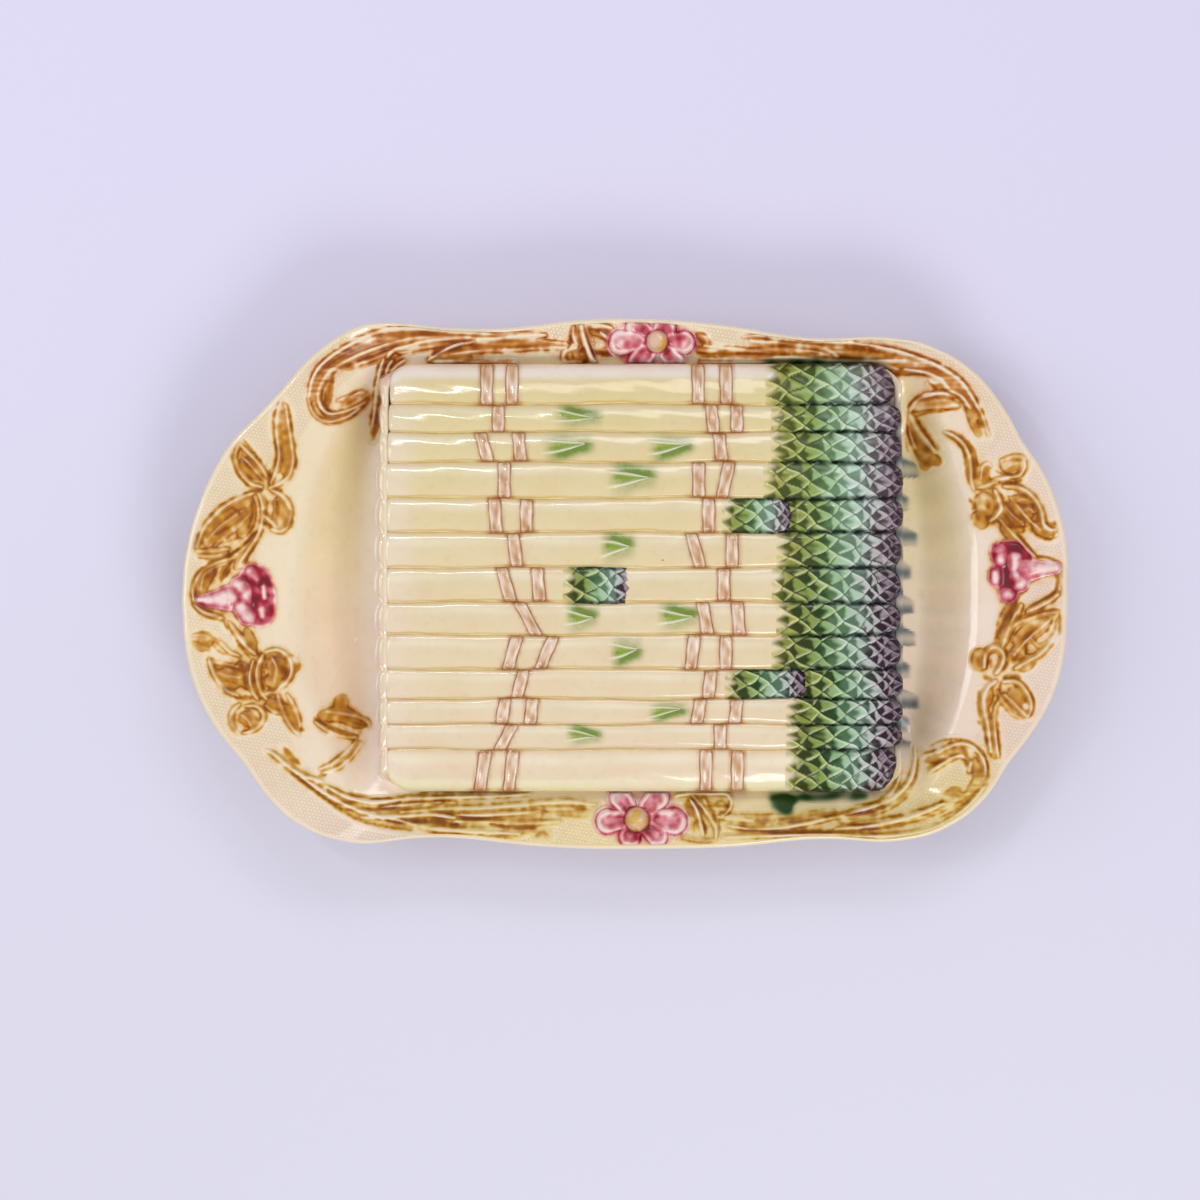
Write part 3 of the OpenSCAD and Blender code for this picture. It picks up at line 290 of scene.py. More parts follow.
WASHES = {
    "stem_back_left": [
        (5, 0.8, [(313, 398), (315, 384), (324, 370), (338, 358), (356, 347), (376, 340), (400, 334),
                    (430, 333), (460, 335), (490, 338)]),
        (2.6, 0.7, [(320, 402), (324, 412), (334, 417), (346, 413), (358, 405), (366, 396)]),
        (3.8, 0.9, [(388, 360), (381, 372), (378, 392), (374, 410), (369, 432)]),
        (4.6, 1.0, [(434, 358), (446, 353), (465, 347), (490, 344), (520, 341), (550, 344), (572, 345)]),
        (3.6, 0.9, [(398, 351), (415, 346), (440, 342), (462, 341)]),
        (3.2, 0.9, [(434, 361), (450, 358), (470, 357)]),
        (1.8, 0.8, [(400, 326), (430, 327), (460, 330), (500, 331), (545, 334)]),
        (2.6, 0.7, [(346, 368), (360, 362), (380, 354), (398, 346)]),
        (3.0, 0.6, [(331, 378), (329, 390), (326, 406)]),
        (2.6, 0.5, [(342, 404), (352, 397), (364, 390)])],
    "bow_back": [
        (5, 1.0, [(592, 330), (606, 332), (616, 334)]),
        (5, 1.0, [(575, 352), (585, 356)]),
        (3, 0.9, [(583, 340), (590, 352), (594, 362)]),
        (3.6, 0.9, [(600, 350), (616, 351)])],
    "stem_back_right": [
        (3.6, 0.8, [(697, 348), (740, 354), (790, 355), (830, 353)]),
        (6, 1.0, [(825, 346), (850, 350), (880, 353), (905, 358), (930, 367), (950, 381), (966, 398),
                    (976, 417)]),
        (3, 0.8, [(840, 366), (870, 366), (900, 367), (925, 371)]),
        (3, 0.5, [(860, 371), (890, 372), (915, 372)]),
        (5, 0.9, [(918, 406), (930, 403), (945, 403), (958, 406)]),
        (2.2, 0.7, [(755, 334), (780, 336), (800, 339)]),
        (4, 0.7, [(930, 378), (945, 388), (960, 396)]),
        (3, 0.7, [(700, 361), (740, 361), (790, 359)]),
        (4, 0.6, [(968, 410), (975, 425), (980, 436)]),
        (6, 0.9, [(916, 425), (924, 440), (930, 455), (930, 465)]),
        (4, 0.8, [(935, 455), (941, 462)]),
        (3.4, 0.9, [(698, 334), (704, 338), (708, 344)])],
    "spray_right_upper": [
        (9, 0.9, [(984, 498), (988, 510)]),
        (6, 0.8, [(976, 515), (985, 525)]),
        (9, 0.9, [(1015, 500), (1028, 515)]),
        (7, 0.9, [(1005, 465), (1015, 467)]),
        (6, 0.9, [(1035, 525), (1050, 535)]),
        (4.5, 0.9, [(1000, 505), (1012, 520), (1022, 530)]),
        (4, 0.7, [(948, 432), (962, 440), (971, 452), (975, 470), (978, 485)]),
        (4.5, 0.7, [(986, 470), (985, 482)]),
        (3.4, 0.7, [(1002, 528), (1012, 538), (1024, 550), (1036, 560)]),
        (3.4, 0.7, [(1040, 557), (1056, 565), (1063, 578), (1058, 592)])],
    "spray_right_lower": [
        (8, 1.0, [(1018, 642), (1030, 632), (1046, 622)]),
        (6, 1.0, [(1014, 657), (1022, 648)]),
        (6, 0.8, [(1012, 690), (1022, 702)]),
        (5, 0.7, [(990, 690), (987, 705)]),
        (4.5, 0.7, [(989, 720), (992, 740), (994, 757)]),
        (5, 0.8, [(1014, 602), (1006, 618), (1000, 636)]),
        (7, 0.9, [(981, 652), (980, 668)]),
        (3, 0.7, [(1022, 670), (1034, 663)]),
        (3, 0.7, [(1060, 590), (1048, 600), (1030, 612)])],
    "stem_front_right": [
        (4.4, 0.8, [(722, 818), (760, 820), (800, 818), (835, 812)]),
        (3.4, 0.8, [(840, 818), (870, 814), (895, 804), (910, 790), (917, 770)]),
        (4.4, 0.9, [(850, 826), (880, 824), (910, 818), (940, 808), (965, 795)]),
        (5, 0.8, [(930, 762), (948, 753), (966, 753)]),
        (4.4, 0.8, [(975, 760), (978, 778), (968, 794)]),
        (2.6, 0.8, [(740, 831), (780, 833), (820, 833), (860, 831)]),
        (6, 0.5, [(945, 800), (958, 790)])],
    "bow_front": [
        (6, 0.8, [(690, 804), (697, 815)]),
        (5, 0.8, [(697, 825), (703, 832)]),
        (4.4, 0.7, [(720, 804), (725, 812)]),
        (4, 0.7, [(712, 806), (718, 818)])],
    "stem_front_left": [
        (7, 0.9, [(320, 716), (340, 716), (358, 727)]),
        (6, 0.7, [(338, 698), (338, 710)]),
        (3.4, 0.7, [(330, 766), (348, 753)]),
        (3, 0.6, [(285, 750), (297, 763)]),
        (4.4, 0.9, [(330, 790), (350, 800), (380, 806), (410, 805), (440, 803)]),
        (4.4, 1.0, [(370, 815), (400, 817), (430, 818), (460, 821)]),
        (4.4, 0.9, [(460, 815), (500, 817), (540, 816)]),
        (4, 0.9, [(430, 830), (470, 829), (500, 828), (535, 830)]),
        (2.6, 0.8, [(292, 773), (310, 785), (330, 799), (350, 810)]),
        (3, 0.7, [(420, 796), (460, 796), (500, 795)]),
        (5, 0.6, [(545, 810), (570, 812), (590, 815)])],
    "spray_left_upper": [
        (6, 0.7, [(284, 415), (287, 440), (288, 460), (284, 472)]),
        (6.5, 0.9, [(244, 461), (258, 476)]),
        (9, 1.0, [(245, 503), (235, 515), (220, 528), (208, 542)]),
        (6, 1.0, [(250, 500), (248, 520), (240, 535)]),
        (6.5, 1.0, [(278, 500), (280, 515), (276, 525)]),
        (3, 0.8, [(262, 495), (264, 510)]),
        (4, 0.9, [(250, 543), (243, 556), (236, 568)]),
        (5, 0.8, [(214, 570), (204, 583), (200, 600)]),
        (3, 0.8, [(228, 565), (222, 578)]),
        (3, 0.7, [(196, 605), (208, 614), (222, 618)])],
    "spray_left_lower": [
        (9, 0.9, [(222, 675), (235, 682)]),
        (7, 0.9, [(240, 665), (246, 685)]),
        (9, 0.9, [(274, 664), (280, 672)]),
        (7, 0.9, [(270, 682), (276, 678)]),
        (6.5, 0.8, [(244, 716), (252, 722)]),
        (4, 0.9, [(246, 630), (254, 648)]),
        (4.5, 0.6, [(200, 640), (212, 643)]),
        (4, 0.8, [(268, 702), (276, 706)]),
        (3.4, 0.7, [(286, 705), (293, 718), (299, 730)]),
        (7, 0.4, [(290, 660), (294, 668)])],
}
POOLS = {
    "stem_back_left": [
        (3.2, 1.0, [(432, 354), (444, 349), (460, 344), (476, 341)]),
        (1.4, 0.8, [(428, 363), (445, 364), (480, 364), (512, 363)]),
        (1.6, 0.6, [(345, 366), (362, 359), (380, 352), (396, 345)]),
        (2.0, 0.7, [(331, 378), (329, 390), (326, 403)]),
        (3.0, 0.6, [(324, 402), (328, 411)]),
        (2.2, 0.6, [(400, 353), (388, 359), (382, 372), (378, 392), (374, 412), (369, 434)]),
        (1.0, 0.9, [(402, 357), (392, 363), (387, 374), (384, 388), (383, 402), (386, 414)]),
        (3.4, 0.5, [(372, 424), (368, 438)]),
        (1.6, 0.6, [(344, 399), (353, 392), (362, 387)]),
        (2.0, 0.6, [(350, 409), (360, 403), (367, 393)]),
        (2.2, 0.5, [(455, 349), (490, 348), (530, 346), (570, 345)]),
        (2.6, 0.4, [(318, 374), (335, 360), (358, 348), (378, 341)]),
        (1.2, 0.5, [(309, 400), (313, 412), (322, 421), (334, 422), (348, 417)])],
    "bow_back": [
        (2.6, 0.9, [(575, 322), (573, 330), (570, 340), (568, 348)]),
        (4.0, 0.8, [(575, 350), (585, 349)]),
        (1.6, 0.9, [(587, 328), (600, 331), (614, 334)]),
        (2.6, 0.9, [(590, 350), (604, 352), (618, 352)]),
        (1.2, 0.7, [(597, 364), (592, 352), (588, 342)]),
        (1.3, 0.7, [(566, 362), (575, 365), (590, 365)])],
    "stem_back_right": [
        (1.3, 0.9, [(884, 346), (900, 349), (915, 354), (930, 361)]),
        (3.0, 0.7, [(845, 347), (865, 349), (885, 352)]),
        (3.0, 0.7, [(840, 357), (855, 358), (864, 357)]),
        (2.0, 0.7, [(697, 352), (725, 353), (760, 352), (800, 353), (820, 352)]),
        (1.5, 0.8, [(942, 388), (950, 393), (960, 397)]),
        (2.0, 0.6, [(880, 366), (862, 367), (840, 367)]),
        (1.2, 0.7, [(972, 404), (980, 416), (989, 431)]),
        (1.4, 0.8, [(958, 407), (945, 410), (930, 411), (920, 414)]),
        (1.5, 0.7, [(912, 405), (917, 398), (925, 395)]),
        (2.0, 0.9, [(919, 413), (927, 426), (934, 438), (939, 448)]),
        (1.6, 0.7, [(911, 420), (917, 432), (922, 444)]),
        (3.0, 0.8, [(937, 444), (941, 449)]),
        (4.0, 0.4, [(922, 452), (934, 464)]),
        (1.4, 0.6, [(911, 435), (914, 450)]),
        (2.6, 0.7, [(697, 338), (705, 342)])],
    "spray_right_upper": [
        (2.6, 1.0, [(996, 481), (1005, 483), (1015, 482), (1022, 480)]),
        (1.8, 0.8, [(1026, 460), (1027, 468), (1022, 476)]),
        (2.4, 0.7, [(1000, 492), (1005, 500), (1012, 512), (1020, 520)]),
        (2.0, 0.8, [(1000, 520), (1008, 526), (1018, 527), (1027, 526)]),
        (1.6, 0.8, [(1030, 528), (1038, 536), (1048, 539), (1060, 537)]),
        (3.2, 0.7, [(988, 500), (989, 508)]),
        (3.0, 0.7, [(992, 522), (998, 521)]),
        (1.8, 0.8, [(970, 498), (975, 505), (973, 510)]),
        (2.0, 0.7, [(955, 434), (966, 441), (972, 452), (975, 465), (976, 478)]),
        (1.2, 0.6, [(964, 446), (966, 465), (969, 482)]),
        (2.0, 0.8, [(1045, 523), (1055, 524), (1060, 520)]),
        (1.4, 0.8, [(1004, 513), (1012, 524), (1023, 540), (1033, 552)]),
        (1.5, 0.8, [(995, 470), (1002, 473), (1012, 475)]),
        (1.4, 0.5, [(1010, 500), (1022, 505), (1034, 505)]),
        (1.3, 0.5, [(1014, 513), (1024, 518), (1036, 518)]),
        (1.3, 0.8, [(1036, 557), (1048, 558), (1058, 565), (1065, 575)]),
        (1.4, 0.8, [(1057, 572), (1058, 582), (1054, 592), (1046, 600)]),
        (1.8, 0.6, [(977, 515), (980, 520)])],
    "spray_right_lower": [
        (1.9, 0.9, [(1020, 620), (1036, 614), (1048, 612), (1060, 610)]),
        (2.8, 0.9, [(1026, 588), (1018, 598), (1012, 610), (1005, 622), (998, 636), (996, 643)]),
        (3.0, 1.0, [(1004, 678), (1012, 677), (1020, 677)]),
        (2.8, 0.9, [(984, 677), (992, 679)]),
        (2.2, 0.8, [(1001, 683), (1000, 695), (998, 702)]),
        (4.0, 0.7, [(1013, 662), (1019, 655)]),
        (2.6, 0.6, [(1022, 640), (1036, 628)]),
        (1.6, 0.8, [(1062, 612), (1061, 622), (1059, 630)]),
        (1.7, 0.8, [(980, 690), (979, 705), (981, 718)]),
        (2.8, 0.6, [(979, 722), (982, 724)]),
        (1.4, 0.8, [(1024, 684), (1031, 695), (1033, 707), (1029, 717)]),
        (2.0, 0.7, [(991, 660), (992, 668)]),
        (2.4, 0.7, [(1006, 650), (1008, 662), (1004, 670)]),
        (1.2, 0.6, [(1002, 704), (1012, 712), (1022, 718)]),
        (1.2, 0.6, [(998, 705), (996, 720), (999, 740), (1000, 758)]),
        (1.3, 0.6, [(984, 728), (988, 745), (991, 758)])],
    "stem_front_right": [
        (1.8, 0.8, [(740, 829), (780, 832), (820, 832), (870, 831)]),
        (1.9, 0.8, [(825, 818), (850, 815), (870, 812), (890, 806)]),
        (2.4, 0.6, [(745, 818), (765, 821), (785, 820)]),
        (1.5, 0.8, [(718, 816), (730, 813)]),
        (2.0, 0.6, [(840, 824), (860, 825), (880, 824)]),
        (1.3, 0.7, [(855, 806), (875, 804), (890, 798)]),
        (2.2, 0.8, [(966, 757), (966, 766)]),
        (1.6, 0.8, [(983, 750), (987, 765), (986, 776), (982, 788)]),
        (1.5, 0.7, [(928, 770), (940, 763), (952, 756), (960, 754)]),
        (1.6, 0.7, [(932, 748), (945, 741), (962, 740), (974, 744), (983, 756)]),
        (1.4, 0.7, [(940, 818), (955, 810), (970, 798), (982, 786)]),
        (1.0, 0.7, [(912, 790), (919, 775), (922, 760)]),
        (3.0, 0.4, [(943, 802), (955, 798)])],
    "bow_front": [
        (2.0, 0.7, [(692, 798), (700, 806), (704, 815)]),
        (2.2, 0.8, [(707, 804), (713, 814), (716, 824)]),
        (1.6, 0.7, [(731, 801), (729, 811)]),
        (1.5, 0.7, [(680, 839), (700, 842), (712, 841)]),
        (2.0, 0.7, [(703, 822), (706, 834)]),
        (1.4, 0.8, [(722, 817), (732, 814)])],
    "stem_front_left": [
        (2.0, 0.8, [(292, 773), (310, 787), (330, 803), (350, 816), (370, 824), (400, 829), (413, 830)]),
        (2.4, 0.9, [(378, 808), (392, 807), (400, 803)]),
        (1.9, 0.9, [(400, 805), (430, 803), (450, 802)]),
        (2.6, 0.9, [(385, 820), (410, 821), (440, 822), (458, 825)]),
        (1.9, 0.9, [(460, 817), (475, 818), (490, 819)]),
        (2.8, 0.8, [(490, 824), (510, 828), (535, 829)]),
        (4.0, 0.7, [(536, 836), (543, 833), (548, 837)]),
        (1.2, 0.9, [(370, 800), (390, 800), (402, 798)]),
        (1.2, 0.8, [(480, 837), (495, 837), (512, 840)]),
        (1.0, 0.6, [(430, 797), (470, 797), (530, 794)]),
        (3.0, 0.6, [(319, 777), (325, 775)]),
        (1.9, 1.0, [(313, 718), (325, 727), (340, 735), (355, 738)]),
        (1.6, 0.7, [(345, 716), (358, 723), (365, 729)]),
        (1.8, 0.7, [(350, 724), (362, 729)]),
        (1.2, 0.6, [(430, 812), (450, 814), (470, 814)]),
        (1.8, 0.5, [(283, 747), (292, 757), (300, 765)])],
    "spray_left_upper": [
        (2.8, 1.0, [(270, 470), (268, 483)]),
        (2.2, 1.0, [(250, 490), (262, 490)]),
        (1.6, 0.8, [(236, 449), (234, 461), (239, 474), (248, 485)]),
        (1.3, 0.7, [(279, 402), (274, 415), (273, 430), (276, 445), (276, 458), (272, 468)]),
        (1.4, 0.6, [(284, 400), (290, 412), (291, 428), (293, 445), (295, 460), (291, 472)]),
        (2.0, 0.9, [(276, 488), (282, 491)]),
        (1.8, 0.7, [(245, 462), (255, 473), (263, 482)]),
        (1.6, 0.8, [(240, 438), (252, 450), (262, 463)]),
        (2.2, 1.0, [(223, 554), (232, 553), (241, 548)]),
        (2.2, 0.8, [(240, 548), (250, 540), (257, 530)]),
        (1.8, 0.8, [(200, 532), (196, 543), (194, 550)]),
        (2.0, 0.8, [(232, 508), (240, 513)]),
        (1.8, 0.6, [(225, 520), (235, 513), (246, 507)]),
        (1.6, 0.6, [(215, 535), (228, 528), (240, 520)]),
        (1.6, 0.6, [(212, 545), (226, 542), (240, 537)]),
        (2.2, 0.7, [(252, 500), (252, 515), (248, 528)]),
        (2.4, 0.8, [(276, 500), (277, 515)]),
        (2.0, 0.9, [(263, 523), (270, 528)]),
        (2.0, 0.8, [(289, 511), (290, 520), (284, 528)]),
        (1.4, 0.7, [(233, 556), (218, 560), (206, 567), (196, 577), (191, 590)]),
        (1.3, 0.7, [(222, 566), (212, 571), (203, 580)]),
        (1.2, 0.7, [(196, 580), (195, 592), (198, 602)]),
        (1.6, 0.8, [(190, 600), (198, 610), (210, 616), (220, 617)]),
        (1.6, 0.7, [(233, 560), (226, 570), (221, 582)]),
        (1.2, 0.6, [(258, 540), (250, 553), (243, 565)])],
    "spray_left_lower": [
        (3.0, 1.0, [(236, 698), (245, 698), (252, 698)]),
        (2.0, 0.9, [(222, 685), (230, 693), (238, 698)]),
        (2.6, 0.8, [(265, 657), (264, 668), (262, 682), (262, 692)]),
        (4.0, 0.7, [(282, 668), (287, 676)]),
        (2.2, 0.9, [(278, 688), (270, 692)]),
        (1.8, 0.9, [(279, 699), (282, 707), (285, 716)]),
        (2.0, 0.9, [(236, 640), (243, 650), (250, 658)]),
        (3.0, 0.8, [(256, 655), (261, 652)]),
        (1.5, 0.8, [(222, 618), (228, 630)]),
        (1.6, 0.8, [(232, 610), (240, 620), (252, 625)]),
        (1.5, 0.7, [(214, 645), (218, 651), (226, 655)]),
        (2.2, 0.6, [(240, 662), (244, 675), (246, 690)]),
        (1.5, 0.6, [(222, 664), (234, 668), (245, 672)]),
        (1.5, 0.6, [(225, 680), (238, 684)]),
        (1.4, 0.7, [(245, 708), (256, 709), (260, 716)]),
        (1.4, 0.7, [(231, 715), (232, 726), (239, 734)]),
        (1.4, 0.6, [(192, 640), (199, 647), (210, 651)]),
        (1.5, 0.7, [(196, 634), (208, 634), (220, 642)]),
        (2.2, 0.9, [(300, 729), (303, 731)]),
        (1.2, 0.6, [(284, 712), (290, 724), (296, 731)]),
        (2.0, 0.6, [(207, 660), (215, 658)])],
}
# Flowers: the cup as middle and radius, then each petal as the middle of its round end and its radius
FLOWERS = {
    "flower_back": [(657, 341, 11.5), (637, 328, 12.5), (664, 330, 13), (684, 342, 12), (621, 342, 13),
                    (640, 360, 13), (675, 362, 11)],
    "flower_front": [(637, 820, 13), (621, 799, 12.5), (657, 799, 13.5), (674, 822, 14), (608, 822, 13),
                     (630, 836, 12), (657, 836, 11.5)]}
# Lobes of the two side flowers, from the back one to the front one: height in mm, depth of the
# pink in its middle and at its edge, and the lobe as (x, y, half width) in pixels
BLOOMS = {
    "flower_left": [
        (1.3, 0.80, 0.90, [(254, 581, 15), (260, 597, 14), (259, 612, 14)]),
        (0.9, 1.10, 0.95, [(248, 582, 5), (253, 597, 6), (264, 604, 4.5)]),
        (2.3, 0.12, 0.75, [(251, 572, 8), (256, 579, 5.5)]),
        (1.9, -0.1, 0.70, [(263, 586, 3.5), (264, 597, 3)]),
        (1.9, 0.05, 0.70, [(261, 610, 4), (262, 616, 4)]),
        (2.5, -0.05, 0.35, [(200, 600, 4), (212, 600, 7), (229, 598, 12)]),
        (2.2, 0.00, 0.50, [(244, 588, 7), (245, 602, 6.5)]),
        (3.0, 0.22, 0.45, [(239, 585, 8), (241, 588, 7)]),
        (3.0, 0.02, 0.50, [(241, 606, 8), (247, 616, 8.5)])],
    "flower_right": [
        (1.3, 0.85, 0.95, [(1008, 557, 13), (1010, 577, 13), (1009, 592, 9)]),
        (1.0, 1.25, 1.05, [(1003, 545, 4), (1016, 546, 5), (1027, 558, 5)]),
        (0.8, 1.10, 1.00, [(1007, 562, 5), (1007, 583, 5)]),
        (2.2, 0.15, 0.70, [(1000, 552, 8.5), (1001, 559, 7)]),
        (1.8, -0.25, 0.60, [(996, 573, 6), (996, 580, 6)]),
        (2.2, 0.18, 0.60, [(1008, 595, 7.5), (1010, 596, 6)]),
        (2.5, 0.00, 0.40, [(1055, 568, 5.5), (1042, 569, 7), (1029, 570, 11)]),
        (3.0, 0.20, 0.45, [(1015, 558, 7), (1014, 568, 5.5)]),
        (3.0, 0.02, 0.50, [(1016, 576, 6.5), (1020, 583, 8.5)])]}
# Green glaze that ran over the edge of the bed
GREENS = [
    (3.4, 1.0, [(757, 370), (780, 369), (800, 367), (822, 370)]),
    (2.6, 0.9, [(820, 371), (850, 372), (885, 372)]),
    (4.8, 1.0, [(770, 799), (785, 800), (797, 801)]),
    (5.0, 1.0, [(774, 806), (783, 810), (791, 811)]),
    (4.6, 0.8, [(797, 798), (830, 798), (868, 797)])]


def smooth(u):
    """Smooth step: 3 u^2 - 2 u^3 with u held between 0 and 1."""
    c = np.clip(u, 0, 1)
    return c * c * (3 - 2 * c)


def mix(a, b, u):
    """a turning to b as u goes from 0 to 1: a + (b - a) u."""
    return a + (b - a) * u


def bell(u, width):
    """Bell curve exp(-(u / width)^2)."""
    return np.exp(-((u / width) ** 2))


def softened(values, sigma, wrap):
    """Values on an even grid, averaged with a bell curve of sigma steps."""
    reach = int(4 * sigma)
    weights = np.exp(-0.5 * (np.arange(-reach, reach + 1) / sigma) ** 2)
    padded = np.pad(values, reach, mode="wrap" if wrap else "edge")
    return np.convolve(padded, weights / weights.sum(), mode="valid")


ANGLES = np.arange(0, 360, 0.1)
SHARES = softened(np.interp(ANGLES, *zip(*RIM_SHARES)), 13, True)
STEPS = np.linspace(0, 1, 401)


def well_profile(t):
    """Floor, smooth wall from 14 % to 52 % of the way out, then a straight rise to the lip."""
    wall = (INNER_H - FLOOR_H) * smooth((t - WALL_FROM) / WALL_SPAN)
    return FLOOR_H + wall + (RIM_H - INNER_H) * np.clip((t - WALL_TO) / (1 - WALL_TO), 0, 1)


WELL = softened(well_profile(STEPS), 8, False)


def rim_reach(p):
    """Factor that takes plan point p to the rim along its ray from the middle."""
    angle = np.degrees(np.arctan2(p[..., 1] / HALF[1], p[..., 0] / HALF[0])) % 360
    share = np.interp(angle, ANGLES, SHARES, period=360)
    return share / np.hypot(p[..., 0] / HALF[0], p[..., 1] / HALF[1])


def lip_middle(p):
    """Middle of the lip's round on the ray of p: the rim point moved in by the lip's radius
    times the cosine of its lean."""
    rim = p * rim_reach(p)[..., None]
    inset = LIP_R * LIP_LEAN
    return rim * (1 - inset / np.linalg.norm(rim, axis=-1))[..., None]


def bed_reach(p):
    """Factor that takes p along its ray to the edge of the bed, an oblong with round corners."""
    sign = np.where(p >= 0, 1.0, -1.0)
    corner = sign * (BED_HALF - CORNER_R) + BED_SHIFT
    safe = np.where(np.abs(p) < 1e-9, 1e-9, p)
    straight = ((sign * BED_HALF + BED_SHIFT) / safe).min(axis=-1)
    past = np.abs(p * straight[..., None]) - np.abs(corner)
    along = (p * corner).sum(axis=-1)
    len2 = (p * p).sum(axis=-1)
    inside = along**2 - len2 * ((corner**2).sum(axis=-1) - CORNER_R**2)
    rounded = (along + np.sqrt(np.maximum(inside, 0))) / len2
    return np.where((past > 0).all(axis=-1), rounded, straight)


def side_part(edge):
    """0 along the ends of the bed, where the wells are, and 1 at its long sides."""
    return smooth((np.abs(edge[..., 1] - BED_SHIFT[1]) / BED_HALF[1] - 0.6) / 0.4)


def top_height(edge, t):
    """Height of the upper side: the well's profile at the ends, and along the sides a straight
    slope from the bed's groove to the rim."""
    return mix(np.interp(t, STEPS, WELL), mix(GROOVE_H, RIM_H, t), side_part(edge))


def under_height(edge, t):
    """Height of the underside: a wall's thickness below the top, and along the long sides down
    to the foot where it nears the bed."""
    drop = mix(1, smooth((t - WALL_FROM) / WALL_SPAN), side_part(edge))
    return FOOT_H + (top_height(edge, t) - WALL_T - FOOT_H) * drop


def share_at(p):
    """How far p lies on the way from the edge of the bed to the lip."""
    start = np.linalg.norm(p * bed_reach(p)[..., None], axis=-1)
    end = np.linalg.norm(lip_middle(p), axis=-1)
    return (np.linalg.norm(p, axis=-1) - start) / (end - start)


def on_plate(px):
    """Pixels of the photo as plan points on the rim, kept between the bed and the lip."""
    px = np.asarray(px, float)
    p = (px[..., :2] - MIDDLE_PX) / HALF_PX * HALF
    t = np.clip(share_at(p), 0.05, 0.975)[..., None]
    return mix(p * bed_reach(p)[..., None], lip_middle(p), t)


def bed_height(y):
    """Arch across the bed, y from its middle: 24 mm at the sides and 38 mm along the crown."""
    fall = 1 - np.clip(np.abs(y) / BED_HALF[1], 0, 1) ** 2.2
    return GROOVE_H + (CROWN_H - GROOVE_H) * np.maximum(fall, 0) ** 0.67


def bed_x(share):
    """Place along the bed, from its middle, of a share of its length."""
    return 2 * BED_HALF[0] * (share - 0.5)


def row_y(k):
    """Place across the bed, from its middle, of the front edge of row k."""
    return 2 * BED_HALF[1] * (0.5 - ROW_EDGES[k])


def row_line(k, x):
    """Edge between two rows along the bed, a slow wave of a few tenths of a millimetre."""
    y = row_y(k) + 0 * x
    if 0 < k < ROWS:
        return y + 0.32 * np.sin(x / 17 + 1.7 * k) + 0.16 * np.sin(x / 6.3 + 2.9 * k)
    into = np.maximum(0, np.abs(x) - (BED_HALF[0] - CORNER_R))
    cut = CORNER_R - np.sqrt(np.maximum(0, CORNER_R**2 - into**2))
    return y - np.sign(y) * cut


def srgb(*c):
    """A colour as the eye reads it, 0 to 255, as the renderer's linear values."""
    c = np.array(c, float) / 255
    return np.where(c <= 0.04045, c / 12.92, ((c + 0.055) / 1.055) ** 2.4)


def blend(a, b, u):
    """Colour a turning to b as u goes from 0 to 1, for arrays of u."""
    u = np.clip(u, 0, 1)[..., None]
    return a * (1 - u) + b * u


def ramp(stops, u):
    """Colour along a list of (place, colour) stops."""
    places = [s[0] for s in stops]
    return np.stack([np.interp(u, places, [s[1][c] for s in stops]) for c in range(3)], axis=-1)


def wave(x, y, seed):
    """Slow blotches between about -1 and 1: a sum of four crossing sine waves."""
    total = np.sin(0.11 * x + 0.07 * y + seed) + np.sin(0.05 * x - 0.13 * y + 2.3 * seed)
    return (total + np.sin(0.21 * x + 0.17 * y + 3.1 * seed) + np.sin(0.31 * y - 0.12 * x + 4.7 * seed)) / 4


def solid(colour):
    """A colour as a colour socket takes it, with full opacity."""
    return (*colour, 1)


def grid_faces(rows, cols, closed):
    """Quads of a grid of rows by cols vertices, the last column joined to the first if closed."""
    i = np.arange(rows - 1)[:, None]
    j = np.arange(cols if closed else cols - 1)[None, :]
    k = (j + 1) % cols
    quads = [i * cols + j, i * cols + k, (i + 1) * cols + k, (i + 1) * cols + j]
    return np.stack(np.broadcast_arrays(*quads), axis=-1).reshape(-1, 4)


